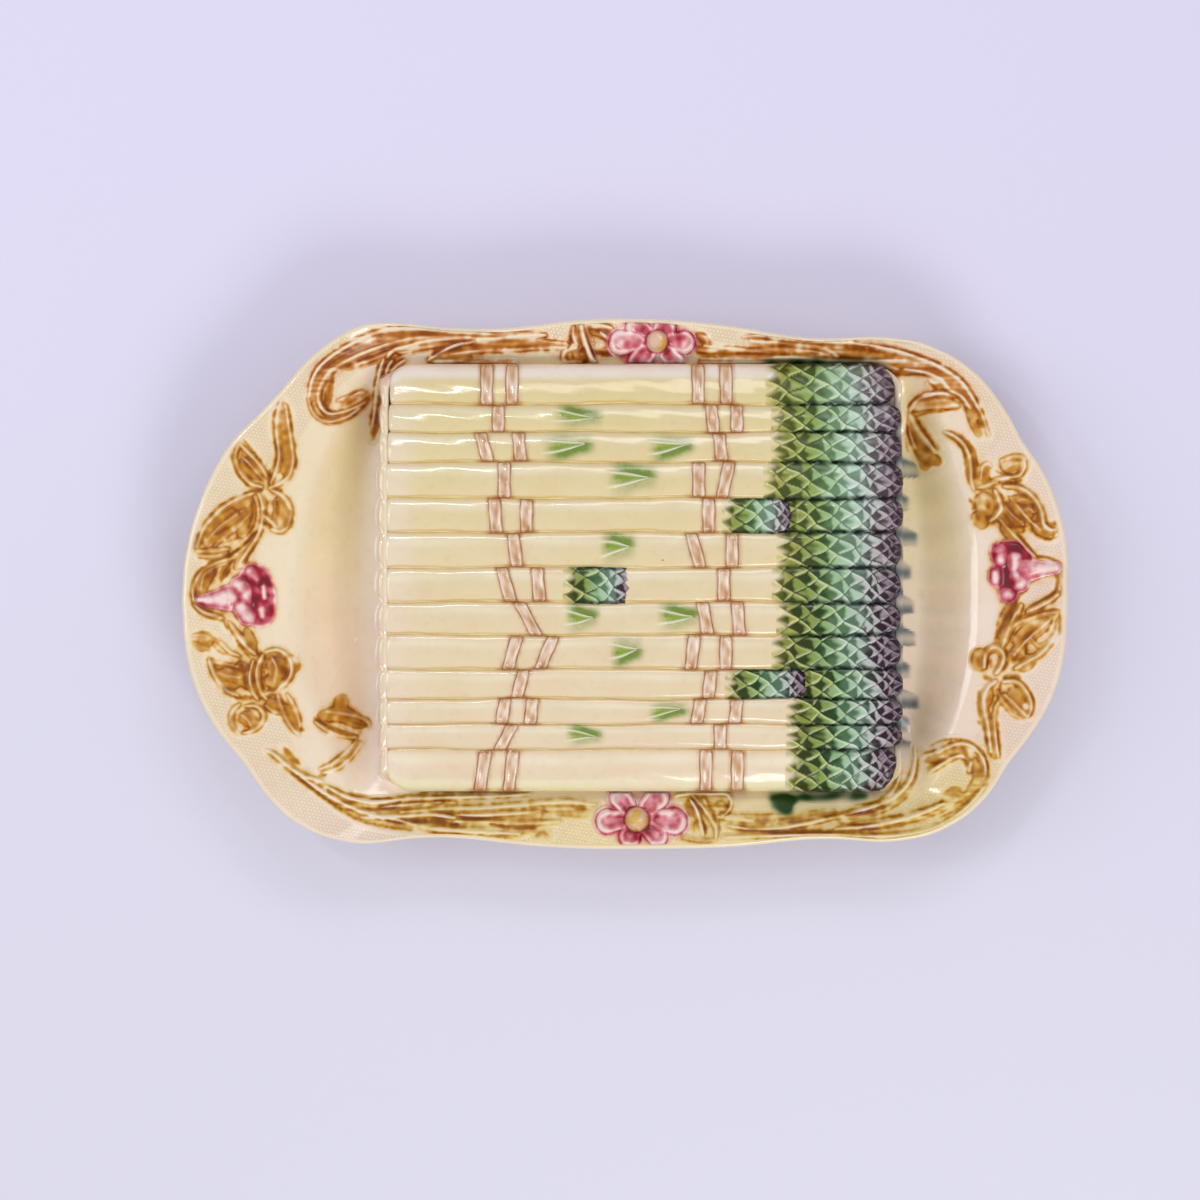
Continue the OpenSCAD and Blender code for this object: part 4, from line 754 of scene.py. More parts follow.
class Form:
    """Collects closed grids with a colour at each point, then makes one piece of them."""

    def __init__(self):
        self.points, self.colours, self.faces, self.start = [], [], [], 0

    def add(self, points, colours, faces):
        """Adds points, a colour for each, and quads that count from the first of these points."""
        self.points.append(points.reshape(-1, 3))
        self.colours.append(np.broadcast_to(colours, points.shape).reshape(-1, 3))
        self.faces.extend(f + self.start for f in faces)
        self.start += len(self.points[-1])

    def sheet(self, top, colours, drop):
        """A closed thin solid: a grid seen from above and the same grid lowered by drop."""
        rows, cols = top.shape[:2]
        low = top - np.array([0, 0, 1.0]) * np.asarray(drop)[..., None]
        n = rows * cols
        up = grid_faces(rows, cols, False)
        rim = np.concatenate([np.arange(cols), np.arange(1, rows) * cols + cols - 1,
                              (rows - 1) * cols + np.arange(cols - 2, -1, -1),
                              np.arange(rows - 2, 0, -1) * cols])
        onward = np.roll(rim, -1)
        side = np.stack([rim, rim + n, onward + n, onward], axis=-1)
        area = np.cross(top[1, 0] - top[0, 0], top[0, 1] - top[0, 0])[2]
        area += np.cross(top[-1, -1] - top[-2, -1], top[-1, -1] - top[-1, -2])[2]
        faces = [up[:, ::-1], up + n, side] if area > 0 else [up, up[:, ::-1] + n, side[:, ::-1]]
        self.add(np.stack([top, low]), np.stack([np.broadcast_to(colours, top.shape)] * 2), faces)

    def piece(self, name, material, slot, *nodes):
        """One mesh of all that was added, on the body, in place of the CAD nodes named."""
        points = np.concatenate(self.points) / 1000
        colours = np.concatenate(self.colours)
        faces = np.concatenate(self.faces)
        mesh = bpy.data.meshes.new(name)
        mesh.vertices.add(len(points))
        mesh.vertices.foreach_set("co", points.ravel())
        mesh.loops.add(faces.size)
        mesh.loops.foreach_set("vertex_index", faces.ravel().astype(np.int32))
        mesh.polygons.add(len(faces))
        mesh.polygons.foreach_set("loop_start", np.arange(0, faces.size, 4, dtype=np.int32))
        mesh.polygons.foreach_set("use_smooth", np.ones(len(faces), bool))
        mesh.update(calc_edges=True)
        layer = mesh.color_attributes.new("glaze", "FLOAT_COLOR", "POINT")
        layer.data.foreach_set("color", np.c_[colours, np.ones(len(colours))].ravel())
        mesh.materials.append(material)
        piece = bpy.data.objects.new(name, mesh)
        bpy.context.scene.collection.objects.link(piece)
        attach(piece, "root")
        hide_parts(*nodes)
        return piece


class Value:
    """A node's output that can be used in Python sums, products and comparisons."""

    def __init__(self, shader, socket):
        self.shader, self.socket = shader, socket

    def of(self, kind, other, swapped=False):
        """The Math node of this value and another, or of the other first when swapped."""
        pair = (other, self) if swapped else (self, other)
        return self.shader.math(kind, *pair)

    def __add__(self, other):
        return self.of("ADD", other)

    def __radd__(self, other):
        return self.of("ADD", other)

    def __sub__(self, other):
        return self.of("SUBTRACT", other)

    def __rsub__(self, other):
        return self.of("SUBTRACT", other, True)

    def __mul__(self, other):
        return self.of("MULTIPLY", other)

    def __rmul__(self, other):
        return self.of("MULTIPLY", other)

    def __gt__(self, other):
        return self.of("GREATER_THAN", other)

    def __lt__(self, other):
        return self.of("LESS_THAN", other)


class Shader:
    """A material with one Principled shader, built up by adding nodes."""

    def __init__(self, name):
        self.material = bpy.data.materials.new(name)
        self.material.use_nodes = True
        self.nodes = self.material.node_tree.nodes
        self.links = self.material.node_tree.links
        self.main = self.nodes["Principled BSDF"]

    def node(self, kind, inputs=(), **settings):
        """Adds a node: its settings first, then the values or links of its sockets."""
        node = self.nodes.new(kind)
        for name, value in settings.items():
            setattr(node, name, value)
        for name, value in dict(inputs).items():
            self.put(node.inputs[name], value)
        return node

    def put(self, socket, value):
        """Links a value into a socket, or sets a plain number or colour on it."""
        if isinstance(value, Value):
            self.links.new(value.socket, socket)
        elif isinstance(value, bpy.types.NodeSocket):
            self.links.new(value, socket)
        else:
            socket.default_value = value

    def math(self, kind, *values):
        """A Math node of the given kind on the values."""
        node = self.nodes.new("ShaderNodeMath")
        node.operation = kind
        for socket, value in zip(node.inputs, values):
            self.put(socket, value)
        return Value(self, node.outputs[0])

    def between(self, value, low, high):
        """0 below low, 1 above high, and smooth between them."""
        node = self.node("ShaderNodeMapRange", interpolation_type="SMOOTHSTEP")
        for name, number in (("Value", value), ("From Min", low), ("From Max", high)):
            self.put(node.inputs[name], number)
        return Value(self, node.outputs["Result"])

    def mixed(self, share, first, second, how="MIX"):
        """The first colour turning to the second, or multiplied by it, as the share goes to 1."""
        node = self.node("ShaderNodeMix", data_type="RGBA", blend_type=how)
        self.put(node.inputs[0], share)
        self.put(node.inputs[6], first)
        self.put(node.inputs[7], second)
        return node.outputs[2]

    def noise(self, scale, detail):
        """Noise between 0 and 1 over the piece, with scale waves to a metre."""
        node = self.node("ShaderNodeTexNoise", {"Scale": scale, "Detail": detail, "Vector": self.place()})
        return Value(self, node.outputs["Fac"])

    def place(self):
        """Object coordinates, from the material's one Texture Coordinate node."""
        if "Texture Coordinate" not in self.nodes:
            self.nodes.new("ShaderNodeTexCoord")
        return self.nodes["Texture Coordinate"].outputs["Object"]


# What mottles, specks and the hollows of the stipple do to the glaze, and the stipple's wave in metres
SLOW_TINT = (0.80, 0.62, 0.40, 1)
FINE_TINT = (0.62, 0.45, 0.30, 1)
SPECK_BROWN = (0.13, 0.09, 0.06, 1)
STIPPLE_TINT = (0.66, 0.50, 0.33, 1)
STIPPLE_WAVE = 0.0014


def glaze(name, speck=0.5, bump=0.25, stipple=False, coat=0.6, roughness=0.16, gloss=0.5):
    """Glossy lead glaze over the colours painted on the points, with slow mottling, dust specks,
    pinholes and an uneven surface; stipple adds the field of small dots on the rim."""
    s = Shader(name)
    paint = s.node("ShaderNodeAttribute", attribute_name="glaze").outputs["Color"]
    slow = s.noise(45, 3)
    fine = s.noise(260, 4)
    colour = s.mixed(0.12 * s.between(slow, 0.35, 0.7), paint, SLOW_TINT, "MULTIPLY")
    colour = s.mixed(0.10 * s.between(fine, 0.5, 0.75), colour, FINE_TINT, "MULTIPLY")
    cells = s.node("ShaderNodeTexVoronoi", {"Scale": 62.0, "Vector": s.place()})
    chosen = s.node("ShaderNodeSeparateColor", {"Color": cells.outputs["Color"]})
    lucky = Value(s, chosen.outputs[0]) > 0.86
    size = 0.03 * Value(s, chosen.outputs[1]) + 0.012
    dot = (Value(s, cells.outputs["Distance"]) < size) * lucky * speck
    colour = s.mixed(dot, colour, SPECK_BROWN)
    height = 0.7 * s.noise(85, 2) + 0.10 * s.noise(380, 2)
    if stipple:
        dots, mask = stipple_field(s)
        height = height + 0.34 * (dots * mask)
        colour = s.mixed(0.3 * ((1 - dots) * mask), colour, STIPPLE_TINT, "MULTIPLY")
    height = height - 0.5 * dot
    bumped = s.node("ShaderNodeBump", {"Strength": bump, "Distance": 0.0012, "Height": height})
    s.put(s.main.inputs["Base Color"], colour)
    s.put(s.main.inputs["Roughness"], 0.08 * s.noise(120, 2) + (roughness - 0.04))
    s.main.inputs["Coat Weight"].default_value = coat
    s.main.inputs["Coat Roughness"].default_value = 0.04
    s.main.inputs["IOR"].default_value = 1.52
    s.main.inputs["Specular IOR Level"].default_value = gloss
    s.put(s.main.inputs["Normal"], bumped.outputs[0])
    return s.material


def stipple_field(s):
    """Dots 1.6 mm apart on a triangular net: the sum of three cosines of 1.4 mm waves 60 degrees
    apart, kept to the outer band of the rim by a value painted on the points."""
    parts = s.node("ShaderNodeSeparateXYZ", {"Vector": s.place()})
    x = Value(s, parts.outputs[0])
    y = Value(s, parts.outputs[1])
    turn = 2 * math.pi / STIPPLE_WAVE
    total = sum(s.math("COSINE", (turn * math.cos(a)) * x + (turn * math.sin(a)) * y)
                for a in map(math.radians, (20, 80, 140)))
    mask = Value(s, s.node("ShaderNodeAttribute", attribute_name="stipple").outputs["Fac"])
    return s.between(total, -0.9, 1.6), mask


# Glaze colours as the eye reads them, with the colours of painted highlights, reflections, shade and light
CREAM = srgb(238, 222, 190)
CREAM_PINK = srgb(238, 218, 200)
CREAM_GOLD = srgb(227, 208, 144)
RIDGE_CREAM = srgb(242, 226, 204)
WELL_GOLD = srgb(238, 224, 172)
WELL_PINK = srgb(246, 226, 200)
OCHRE_PALE = srgb(224, 186, 114)
OCHRE = srgb(192, 132, 38)
OCHRE_DARK = srgb(150, 84, 6)
OCHRE_BROWN = srgb(104, 42, 0)
PETAL_RIM = srgb(242, 214, 210)
PETAL = srgb(212, 110, 122)
CRIMSON = srgb(162, 20, 46)
CRIMSON_DEEP = srgb(112, 12, 34)
CUP_GOLD = srgb(216, 172, 84)
CUP_CREAM = srgb(222, 188, 166)
GREEN_RUN = srgb(96, 136, 92)
GREEN_DEEP = srgb(34, 62, 18)
GREEN_GREY = srgb(84, 102, 102)
STALK_CREAM = srgb(230, 210, 178)
STALK_GOLD = srgb(224, 208, 150)
STALK_HIGHLIGHT = srgb(244, 238, 214)
STALK_SHADE = srgb(222, 200, 168)
STALK_BUTT_REFLECTION = srgb(236, 218, 198)
STALK_BACK_HIGHLIGHT = srgb(242, 232, 228)
STALK_FRONT_HIGHLIGHT = srgb(238, 233, 190)
CREASE_OCHRE = srgb(206, 166, 74)
CREASE_HIGHLIGHT = srgb(240, 226, 158)
TIE_RUST = srgb(186, 120, 50)
TIE_SPILL = srgb(178, 104, 34)
BRACT_SHADE = srgb(112, 140, 40)
BRACT_GREEN = srgb(156, 178, 70)
BRACT_RIM = srgb(240, 238, 210)
TIP_PAINTED_SHADE = srgb(46, 26, 34)
BUTT_WALL_SHADE = srgb(222, 200, 172)
ARC_SHADE = srgb(200, 170, 134)
ARC_HIGHLIGHT = srgb(246, 238, 232)
WELL_PAINTED_LIGHT = srgb(252, 236, 220)
BISCUIT = srgb(206, 184, 150)
BISCUIT_DARK = srgb(176, 150, 116)
PAPER_FRONT = srgb(218, 217, 230)
PAPER_BACK = srgb(222, 218, 240)

# Glaze by its depth
OCHRE_DEPTH = [(0, OCHRE_PALE), (0.22, OCHRE_PALE), (0.52, OCHRE), (0.88, OCHRE_DARK), (1.25, OCHRE_BROWN)]
PETAL_DEPTH = [(0, PETAL_RIM), (0.5, PETAL), (0.95, CRIMSON), (1.3, CRIMSON_DEEP)]
TIE_DEPTH = [(0, srgb(236, 216, 194)), (0.45, srgb(212, 174, 138)), (0.8, srgb(192, 138, 88)),
             (1.2, srgb(156, 88, 26))]

# Colours of a head from its foot at 0 to its tip at 1: scales, their rims (paler thin glaze with a painted
# highlight), the pools and the sides
HEAD_SCALE = [(0, srgb(196, 194, 110)), (0.14, srgb(146, 156, 66)), (0.32, srgb(144, 170, 88)),
              (0.46, srgb(164, 202, 150)), (0.62, srgb(184, 216, 190)), (0.76, srgb(200, 206, 200)),
              (0.88, srgb(152, 134, 142)), (1, srgb(64, 38, 54))]
HEAD_RIM_GLAZE_AND_HIGHLIGHT = [(0, srgb(232, 228, 150)), (0.35, srgb(214, 224, 156)), (0.6, srgb(234, 242, 224)),
            (0.85, srgb(196, 182, 196)), (1, srgb(176, 156, 174))]
HEAD_POOL = [(0, srgb(96, 100, 6)), (0.14, srgb(46, 56, 0)), (0.34, srgb(30, 58, 2)),
             (0.5, srgb(26, 76, 36)), (0.68, srgb(40, 74, 58)), (0.78, srgb(50, 14, 36)),
             (0.9, srgb(36, 2, 26)), (1, srgb(26, 6, 20))]
HEAD_SIDE = [(0, srgb(84, 96, 30)), (0.2, srgb(22, 38, 10)), (0.6, srgb(20, 42, 36)), (1, srgb(36, 14, 32))]


CURVE_STEPS = 4


def curve(points):
    """Catmull-Rom curve through the points, a few steps to each stretch."""
    p = np.asarray(points, float)
    p = np.concatenate([p[:1] * 2 - p[1:2], p, p[-1:] * 2 - p[-2:-1]])
    u = (np.arange(CURVE_STEPS) / CURVE_STEPS)[None, :, None]
    a, b, c, d = (p[i:len(p) - 3 + i, None] for i in range(4))
    line = b + ((c - a) * u + (2 * a - 5 * b + 4 * c - d) * u**2 + (3 * b - a - 3 * c + d) * u**3) / 2
    return np.concatenate([line.reshape(-1, p.shape[1]), p[-2:-1]])


# The relief is worked out on a map of the whole plate, a point every 0.35 mm
STEP = 0.35
MAP_OUT = 2
MAP_X, MAP_Y = (np.arange(-half - MAP_OUT, half + MAP_OUT, STEP) for half in HALF)
GRID = np.stack(np.meshgrid(MAP_X, MAP_Y), axis=-1)
RIM_T = share_at(GRID)
RIM_Z = top_height(GRID * bed_reach(GRID)[..., None], RIM_T)
# A piece reaches this far past its lines, in mm, and keeps to this band between the bed and the lip
MARGIN = 1.9
BAND_FROM = 0.015
BAND_TO = 0.985


def blurred(values, width, along=1):
    """The map averaged with a bell curve of the given width in mm, by Fourier transform; the
    curve may be wider along the plate than across it."""
    fy = np.fft.fftfreq(values.shape[0])[:, None]
    fx = np.fft.rfftfreq(values.shape[1])[None, :]
    pass_share = np.exp(-2 * (math.pi * width / STEP) ** 2 * ((fx * along)**2 + fy**2))
    return np.fft.irfft2(np.fft.rfft2(values) * pass_share, values.shape)


def noise_map(width, seed, along=1):
    """Seeded blotches of the given width in mm over the map, with a spread of 1."""
    field = blurred(np.random.default_rng(seed).standard_normal(RIM_T.shape), width, along)
    return field / field.std()


# Unevenness of the glaze, from broad to fine, and streaks that run along the plate
BLOTCH = noise_map(2.2, 3)
MOTTLE = noise_map(0.9, 5)
FRAY = noise_map(0.45, 8)
STREAKS = noise_map(0.5, 12, 9)


TAPER = 0.45


def stroke(half, px):
    """A traced line as (x, y, half width) in mm: the width follows the root of a sine, down to
    the taper's share at both ends."""
    line = curve(on_plate(px))
    u = np.linspace(0, 1, len(line))
    return np.c_[line, half * PX_MM * (TAPER + (1 - TAPER) * np.sqrt(np.sin(math.pi * u).clip(0)))]


class Relief:
    """Height and glaze of the relief on the map, and the piece that each point belongs to."""

    def __init__(self):
        shape = RIM_T.shape
        self.ridge, self.foot, self.dark, self.green = (np.zeros(shape) for _ in range(4))
        self.petal, self.depth, self.cup = (np.zeros(shape) for _ in range(3))
        self.gap = np.full(shape, 9.0)
        self.owner = np.full(shape, -1)

    def near(self, line, owner):
        """The part of the map round a line, and there the way to the line as a share of its
        half width: each point takes the nearest of the line's stretches."""
        reach = line[:, 2].max() + 4
        low, high = line[:, :2].min(axis=0) - reach, line[:, :2].max(axis=0) + reach
        part = (slice(*np.searchsorted(MAP_Y, (low[1], high[1]))),
                slice(*np.searchsorted(MAP_X, (low[0], high[0]))))
        p = GRID[part]
        q, gap = np.full(p.shape[:2], 99.0), np.full(p.shape[:2], 99.0)
        for a, b in zip(line[:-1], line[1:]):
            d = b - a
            s = np.clip((p - a[:2]) @ d[:2] / max(d[:2] @ d[:2], 1e-9), 0, 1)
            way = np.linalg.norm(p - a[:2] - s[..., None] * d[:2], axis=-1)
            r = a[2] + s * d[2]
            q = np.minimum(q, way / r)
            gap = np.minimum(gap, way - r)
        closer = gap < self.gap[part]
        self.owner[part] = np.where(closer, owner, self.owner[part])
        self.gap[part] = np.minimum(gap, self.gap[part])
        return part, q

    def raised(self, layer, part, values):
        """Keeps the greater of a layer and new values on a part of the map."""
        layer[part] = np.maximum(layer[part], values)

    def strokes(self, name, owner):
        """A piece's traced lines: ridges as smooth steps across their width, washes flat with soft
        edges, and pools as bell curves."""
        for half, high, px in RIDGES[name]:
            part, q = self.near(stroke(half, px), owner)
            self.raised(self.ridge, part, 1.1 * high * smooth(1 - q / 1.9))
        for half, amount, px in WASHES[name]:
            part, q = self.near(stroke(half, px), owner)
            self.raised(self.foot, part, amount * smooth((1.3 - q) / 0.5))
        for half, amount, px in POOLS[name]:
            part, q = self.near(stroke(half * 0.9, px), owner)
            self.raised(self.dark, part, amount * bell(q, 0.85))

    def flower(self, name, owner):
        """Bowl-shaped petals that overlap round a domed cup, each with a raised rim and a deep middle."""
        middle, *petals = FLOWERS[name]
        for petal in petals:
            line = np.array([(*mix(np.array(middle[:2]), np.array(petal[:2]), 0.6), petal[2] * 0.8), petal])
            part, q = self.near(np.c_[on_plate(line), line[:, 2] * PX_MM], owner)
            inside = q < 1
            bowl = 2.7 * smooth((1 - q) / 0.3) * (0.55 + 0.45 * bell(q - 0.72, 0.22))
            self.ridge[part] = np.where(inside & (bowl > 0.7 * self.ridge[part]), bowl, self.ridge[part])
            way = np.linalg.norm(GRID[part] - on_plate(middle[:2]), axis=-1) / (PX_MM * (middle[2] + 18))
            deep = smooth(1.2 - way) * smooth((1.1 - q) / 0.6) + 0.5 * smooth((q - 0.84) / 0.14)
            self.depth[part] = np.where(inside, deep, self.depth[part])
            self.raised(self.petal, part, smooth((1.16 - q) / 0.12))
        part, q = self.near(np.array([[*on_plate(middle), middle[2] * PX_MM]] * 2), owner)
        self.ridge[part] = np.where(q < 1, 3.4 * smooth((1.08 - q) / 0.6), self.ridge[part])
        self.raised(self.cup, part, smooth((0.98 - q) / 0.2))

    def bloom(self, name, owner):
        """A flower seen from its side: a tube and rounded lobes that overlap, pale where they
        stand high and crimson between them."""
        for high, middle, rim, px in BLOOMS[name]:
            line = np.asarray(px, float)
            part, q = self.near(np.c_[on_plate(line), line[:, 2] * PX_MM], owner)
            lobe = smooth((1.25 - q) / 1.2)
            ridge = self.ridge[part]
            self.ridge[part] = np.where(q < 1.2, np.maximum(0.75 * ridge, high * lobe), ridge)
            pink = mix(middle + 0.12, rim, smooth((q - 0.1) / 0.9))
            self.depth[part] = mix(self.depth[part], pink, smooth((1.16 - q) / 0.35))
            self.raised(self.petal, part, smooth((1.18 - q) / 0.2))

    def finish(self):
        """Sums the layers: swells under the washes, ridges on them, and hollows at the pools."""
        on_rim = smooth((RIM_T - BAND_FROM) / 0.035) * smooth((BAND_TO - RIM_T) / 0.03)
        swell = 0.8 * smooth(blurred(self.foot, 0.9))
        uneven = 1 + 0.12 * BLOTCH * (self.petal < 0.1)
        ridge = blurred(self.ridge * np.clip(uneven, 0.6, 1.3), 0.36)
        lift = swell + ridge - 0.3 * blurred(self.dark, 0.4)
        lift = lift + 0.05 * MOTTLE * swell
        self.lift = np.maximum(lift, 0) * on_rim
        self.steep = lift - blurred(lift, 1.2)
        on_ridge = self.ridge > 0.1
        self.spread = np.clip(1.5 * blurred(self.foot, 0.8) + 0.9 * blurred(on_ridge * 1.0, 0.9), 0, 1)
        self.halo = blurred(np.maximum(self.foot, on_ridge * 0.7), 3.2)
        self.flush = blurred(self.petal, 1.5)
        coat = blurred(np.maximum(self.foot, on_ridge * 0.9), 0.6) + 0.04 * FRAY
        self.line = bell(coat - 0.32, 0.2) * smooth(2 * self.halo)
        self.inside = (self.gap < MARGIN) & (RIM_T > BAND_FROM) & (RIM_T < BAND_TO)

    def faces_of(self, owner):
        """Cells of the map that belong to a piece, without cells that touch only at a corner."""
        inside = self.inside
        cell = inside[:-1, :-1] & inside[1:, :-1] & inside[:-1, 1:] & inside[1:, 1:]
        cell &= self.owner[:-1, :-1] == owner
        for _ in range(4):
            a, b, c, d = cell[:-1, :-1], cell[:-1, 1:], cell[1:, :-1], cell[1:, 1:]
            lone = (a & d & ~b & ~c) | (b & c & ~a & ~d)
            cell[:-1, :-1] &= ~lone
            cell[:-1, 1:] &= ~lone
        return cell

    def piece(self, owner, name, material, slot, node):
        """A closed sheet over the piece's cells: the glazed top, the same below, and side walls."""
        i, j = np.nonzero(self.faces_of(owner))
        wide = RIM_T.shape[1]
        corner = i * wide + j
        top = np.stack([corner, corner + 1, corner + wide + 1, corner + wide], axis=-1)
        used, top = np.unique(top, return_inverse=True)
        top = top.reshape(-1, 4)
        n = len(used)
        a, b = top.ravel(), np.roll(top, -1, axis=1).ravel()
        edge = ~np.isin(a * n + b, b * n + a)
        a, b = a[edge], b[edge]
        sides = np.stack([a, a + n, b + n, b], axis=-1)
        skin = mix(-0.1, 0.06, smooth((MARGIN - self.gap.ravel()[used]) / 0.5))
        base = RIM_Z.ravel()[used]
        flat = GRID.reshape(-1, 2)[used]
        high = np.c_[flat, base + skin + self.lift.ravel()[used]]
        low = np.c_[flat, base - RELIEF_DEPTH]
        form = Form()
        colour = self.tone.reshape(-1, 3)[used]
        faces = [top, top[:, ::-1] + n, sides]
        form.add(np.concatenate([high, low]), np.concatenate([colour, colour]), faces)
        form.piece(name, material, slot, node)


SIDE_FROM = 60
SIDE_SPAN = 30


def at_back(y):
    """0 up to 60 mm behind the plate's middle and 1 from 90 mm on; at_back(-y) is for the front."""
    return smooth((y - SIDE_FROM) / SIDE_SPAN)


def rim_tone(x, y, z):
    """Cream of the bare rim, pinker toward the front right and golden along the front, and the
    deeper gold of the wells."""
    base = blend(CREAM, CREAM_PINK, smooth((x / HALF[0] - y / HALF[1]) * 0.5 + 0.5))
    sunny = at_back(-y) * smooth((x + 110) / 40) * smooth((178 - x) / 40)
    base = blend(base, CREAM_GOLD, 0.9 * sunny)
    well = blend(WELL_PINK, WELL_GOLD, smooth((y + 40) / 90))
    return blend(base, well, smooth((33 - z) / 14) * (0.75 + 0.2 * wave(x, y, 4.0)))


def relief_tone(r):
    """Colours of the map: ochre thin on high edges and dark in hollows, pink on the petals."""
    y = GRID[..., 1]
    base = rim_tone(GRID[..., 0], y, RIM_Z)
    mottle = 0.6 * MOTTLE + 0.5 * BLOTCH
    stems_back, stems_front = at_back(y), at_back(-y)
    stems = stems_back + stems_front
    thick = r.spread * (0.38 - 0.15 * stems_back - 0.14 * stems_front - (0.42 + 0.2 * stems) * r.steep
                        + 0.10 * mottle + 0.14 * stems * STREAKS)
    thick = thick + mix(0.66, 0.85, stems) * blurred(r.dark, 0.4) * (1 + 0.2 * FRAY)
    thick = thick + 0.16 * smooth(1.9 * r.halo) * (1 + 0.5 * mottle)
    thick = thick + (0.40 - 0.2 * stems_front) * r.line * (1 + 0.5 * MOTTLE)
    thick = np.minimum(thick, 0.95 + 0.3 * smooth((thick - 0.95) / 0.8))
    ochre = ramp(OCHRE_DEPTH, thick)
    ochre = ochre * mix(1, np.array([0.95, 0.78, 0.95]), stems_back[..., None])
    ochre = ochre * mix(1, np.array([0.95, 1.02, 0.85]), stems_front[..., None])
    tone = blend(base, ochre, smooth(thick / 0.34))
    cream = smooth((r.steep - 0.2) / 0.4) * r.spread * np.clip(0.55 + 0.35 * BLOTCH, 0.1, 1)
    tone = blend(tone, RIDGE_CREAM, mix(0.4, 0.8, stems) * cream)
    pink = 0.16 - 0.4 * r.steep + 0.85 * r.depth + 0.15 * MOTTLE + 0.12 * BLOTCH
    tone = blend(tone, PETAL, 0.4 * smooth(2 * r.flush - 0.2) * (1 - r.petal))
    tone = blend(tone, ramp(PETAL_DEPTH, pink), smooth(1.6 * r.petal))
    cup = blend(CUP_CREAM, CUP_GOLD, smooth(0.55 + 0.5 * MOTTLE + 0.5 * BLOTCH))
    tone = blend(tone, cup, r.cup)
    tone = blend(tone, CRIMSON, 0.7 * bell(r.cup - 0.3, 0.25) * (r.cup > 0.02))
    green = np.maximum(0, blurred(r.green, 1.3) * (1 + 0.3 * BLOTCH))
    return blend(tone, blend(GREEN_RUN, GREEN_DEEP, 1.5 * green - 0.15), smooth(1.5 * green))


def row_place(k, x, v, grow):
    """Place across row k: from its front line at v = -1 to its back line at v = 1, narrowed by
    grow toward the middle."""
    low, high = row_line(k, x), row_line(k - 1, x)
    return (low + high) / 2 + (high - low) / 2 * v * grow


def arch(v):
    """Section of a spear across its row: flat on top, a slope that steepens toward the back, a
    shorter one toward the front, and a last round drop to the crease."""
    slope = 0.68 * np.clip((v + 0.2) / 1.2, 0, 1) ** 2.2 + 0.25 * smooth((-0.45 - v) / 0.55)
    return (1 - slope) * np.maximum(0, 1 - np.abs(v) ** 10) ** 0.8


def spear_top(k, x, v, grow_w=1.0, grow_h=1.0):
    """Plan y and height of a spear at x along the bed and v across its row: the bed, the section
    and a ripple of two sine waves, scaled by grow_w and grow_h at its ends."""
    y = row_place(k, x, v, grow_w)
    ripple = 0.10 * np.sin(x / 9 + 2.1 * k) * (1 - v**2)
    ripple = ripple + 0.07 * np.sin(x / 4.1 + 5 * v + k) * (1 - v**2)
    return y, bed_height(y) + (EDGE_H + (SPEAR_H - EDGE_H) * arch(v)) * grow_h + ripple * grow_h


def in_plate(x, y, z):
    """Points on the bed moved to the bed's place in the plate."""
    return np.stack([x + BED_SHIFT[0], y + BED_SHIFT[1], z], axis=-1)


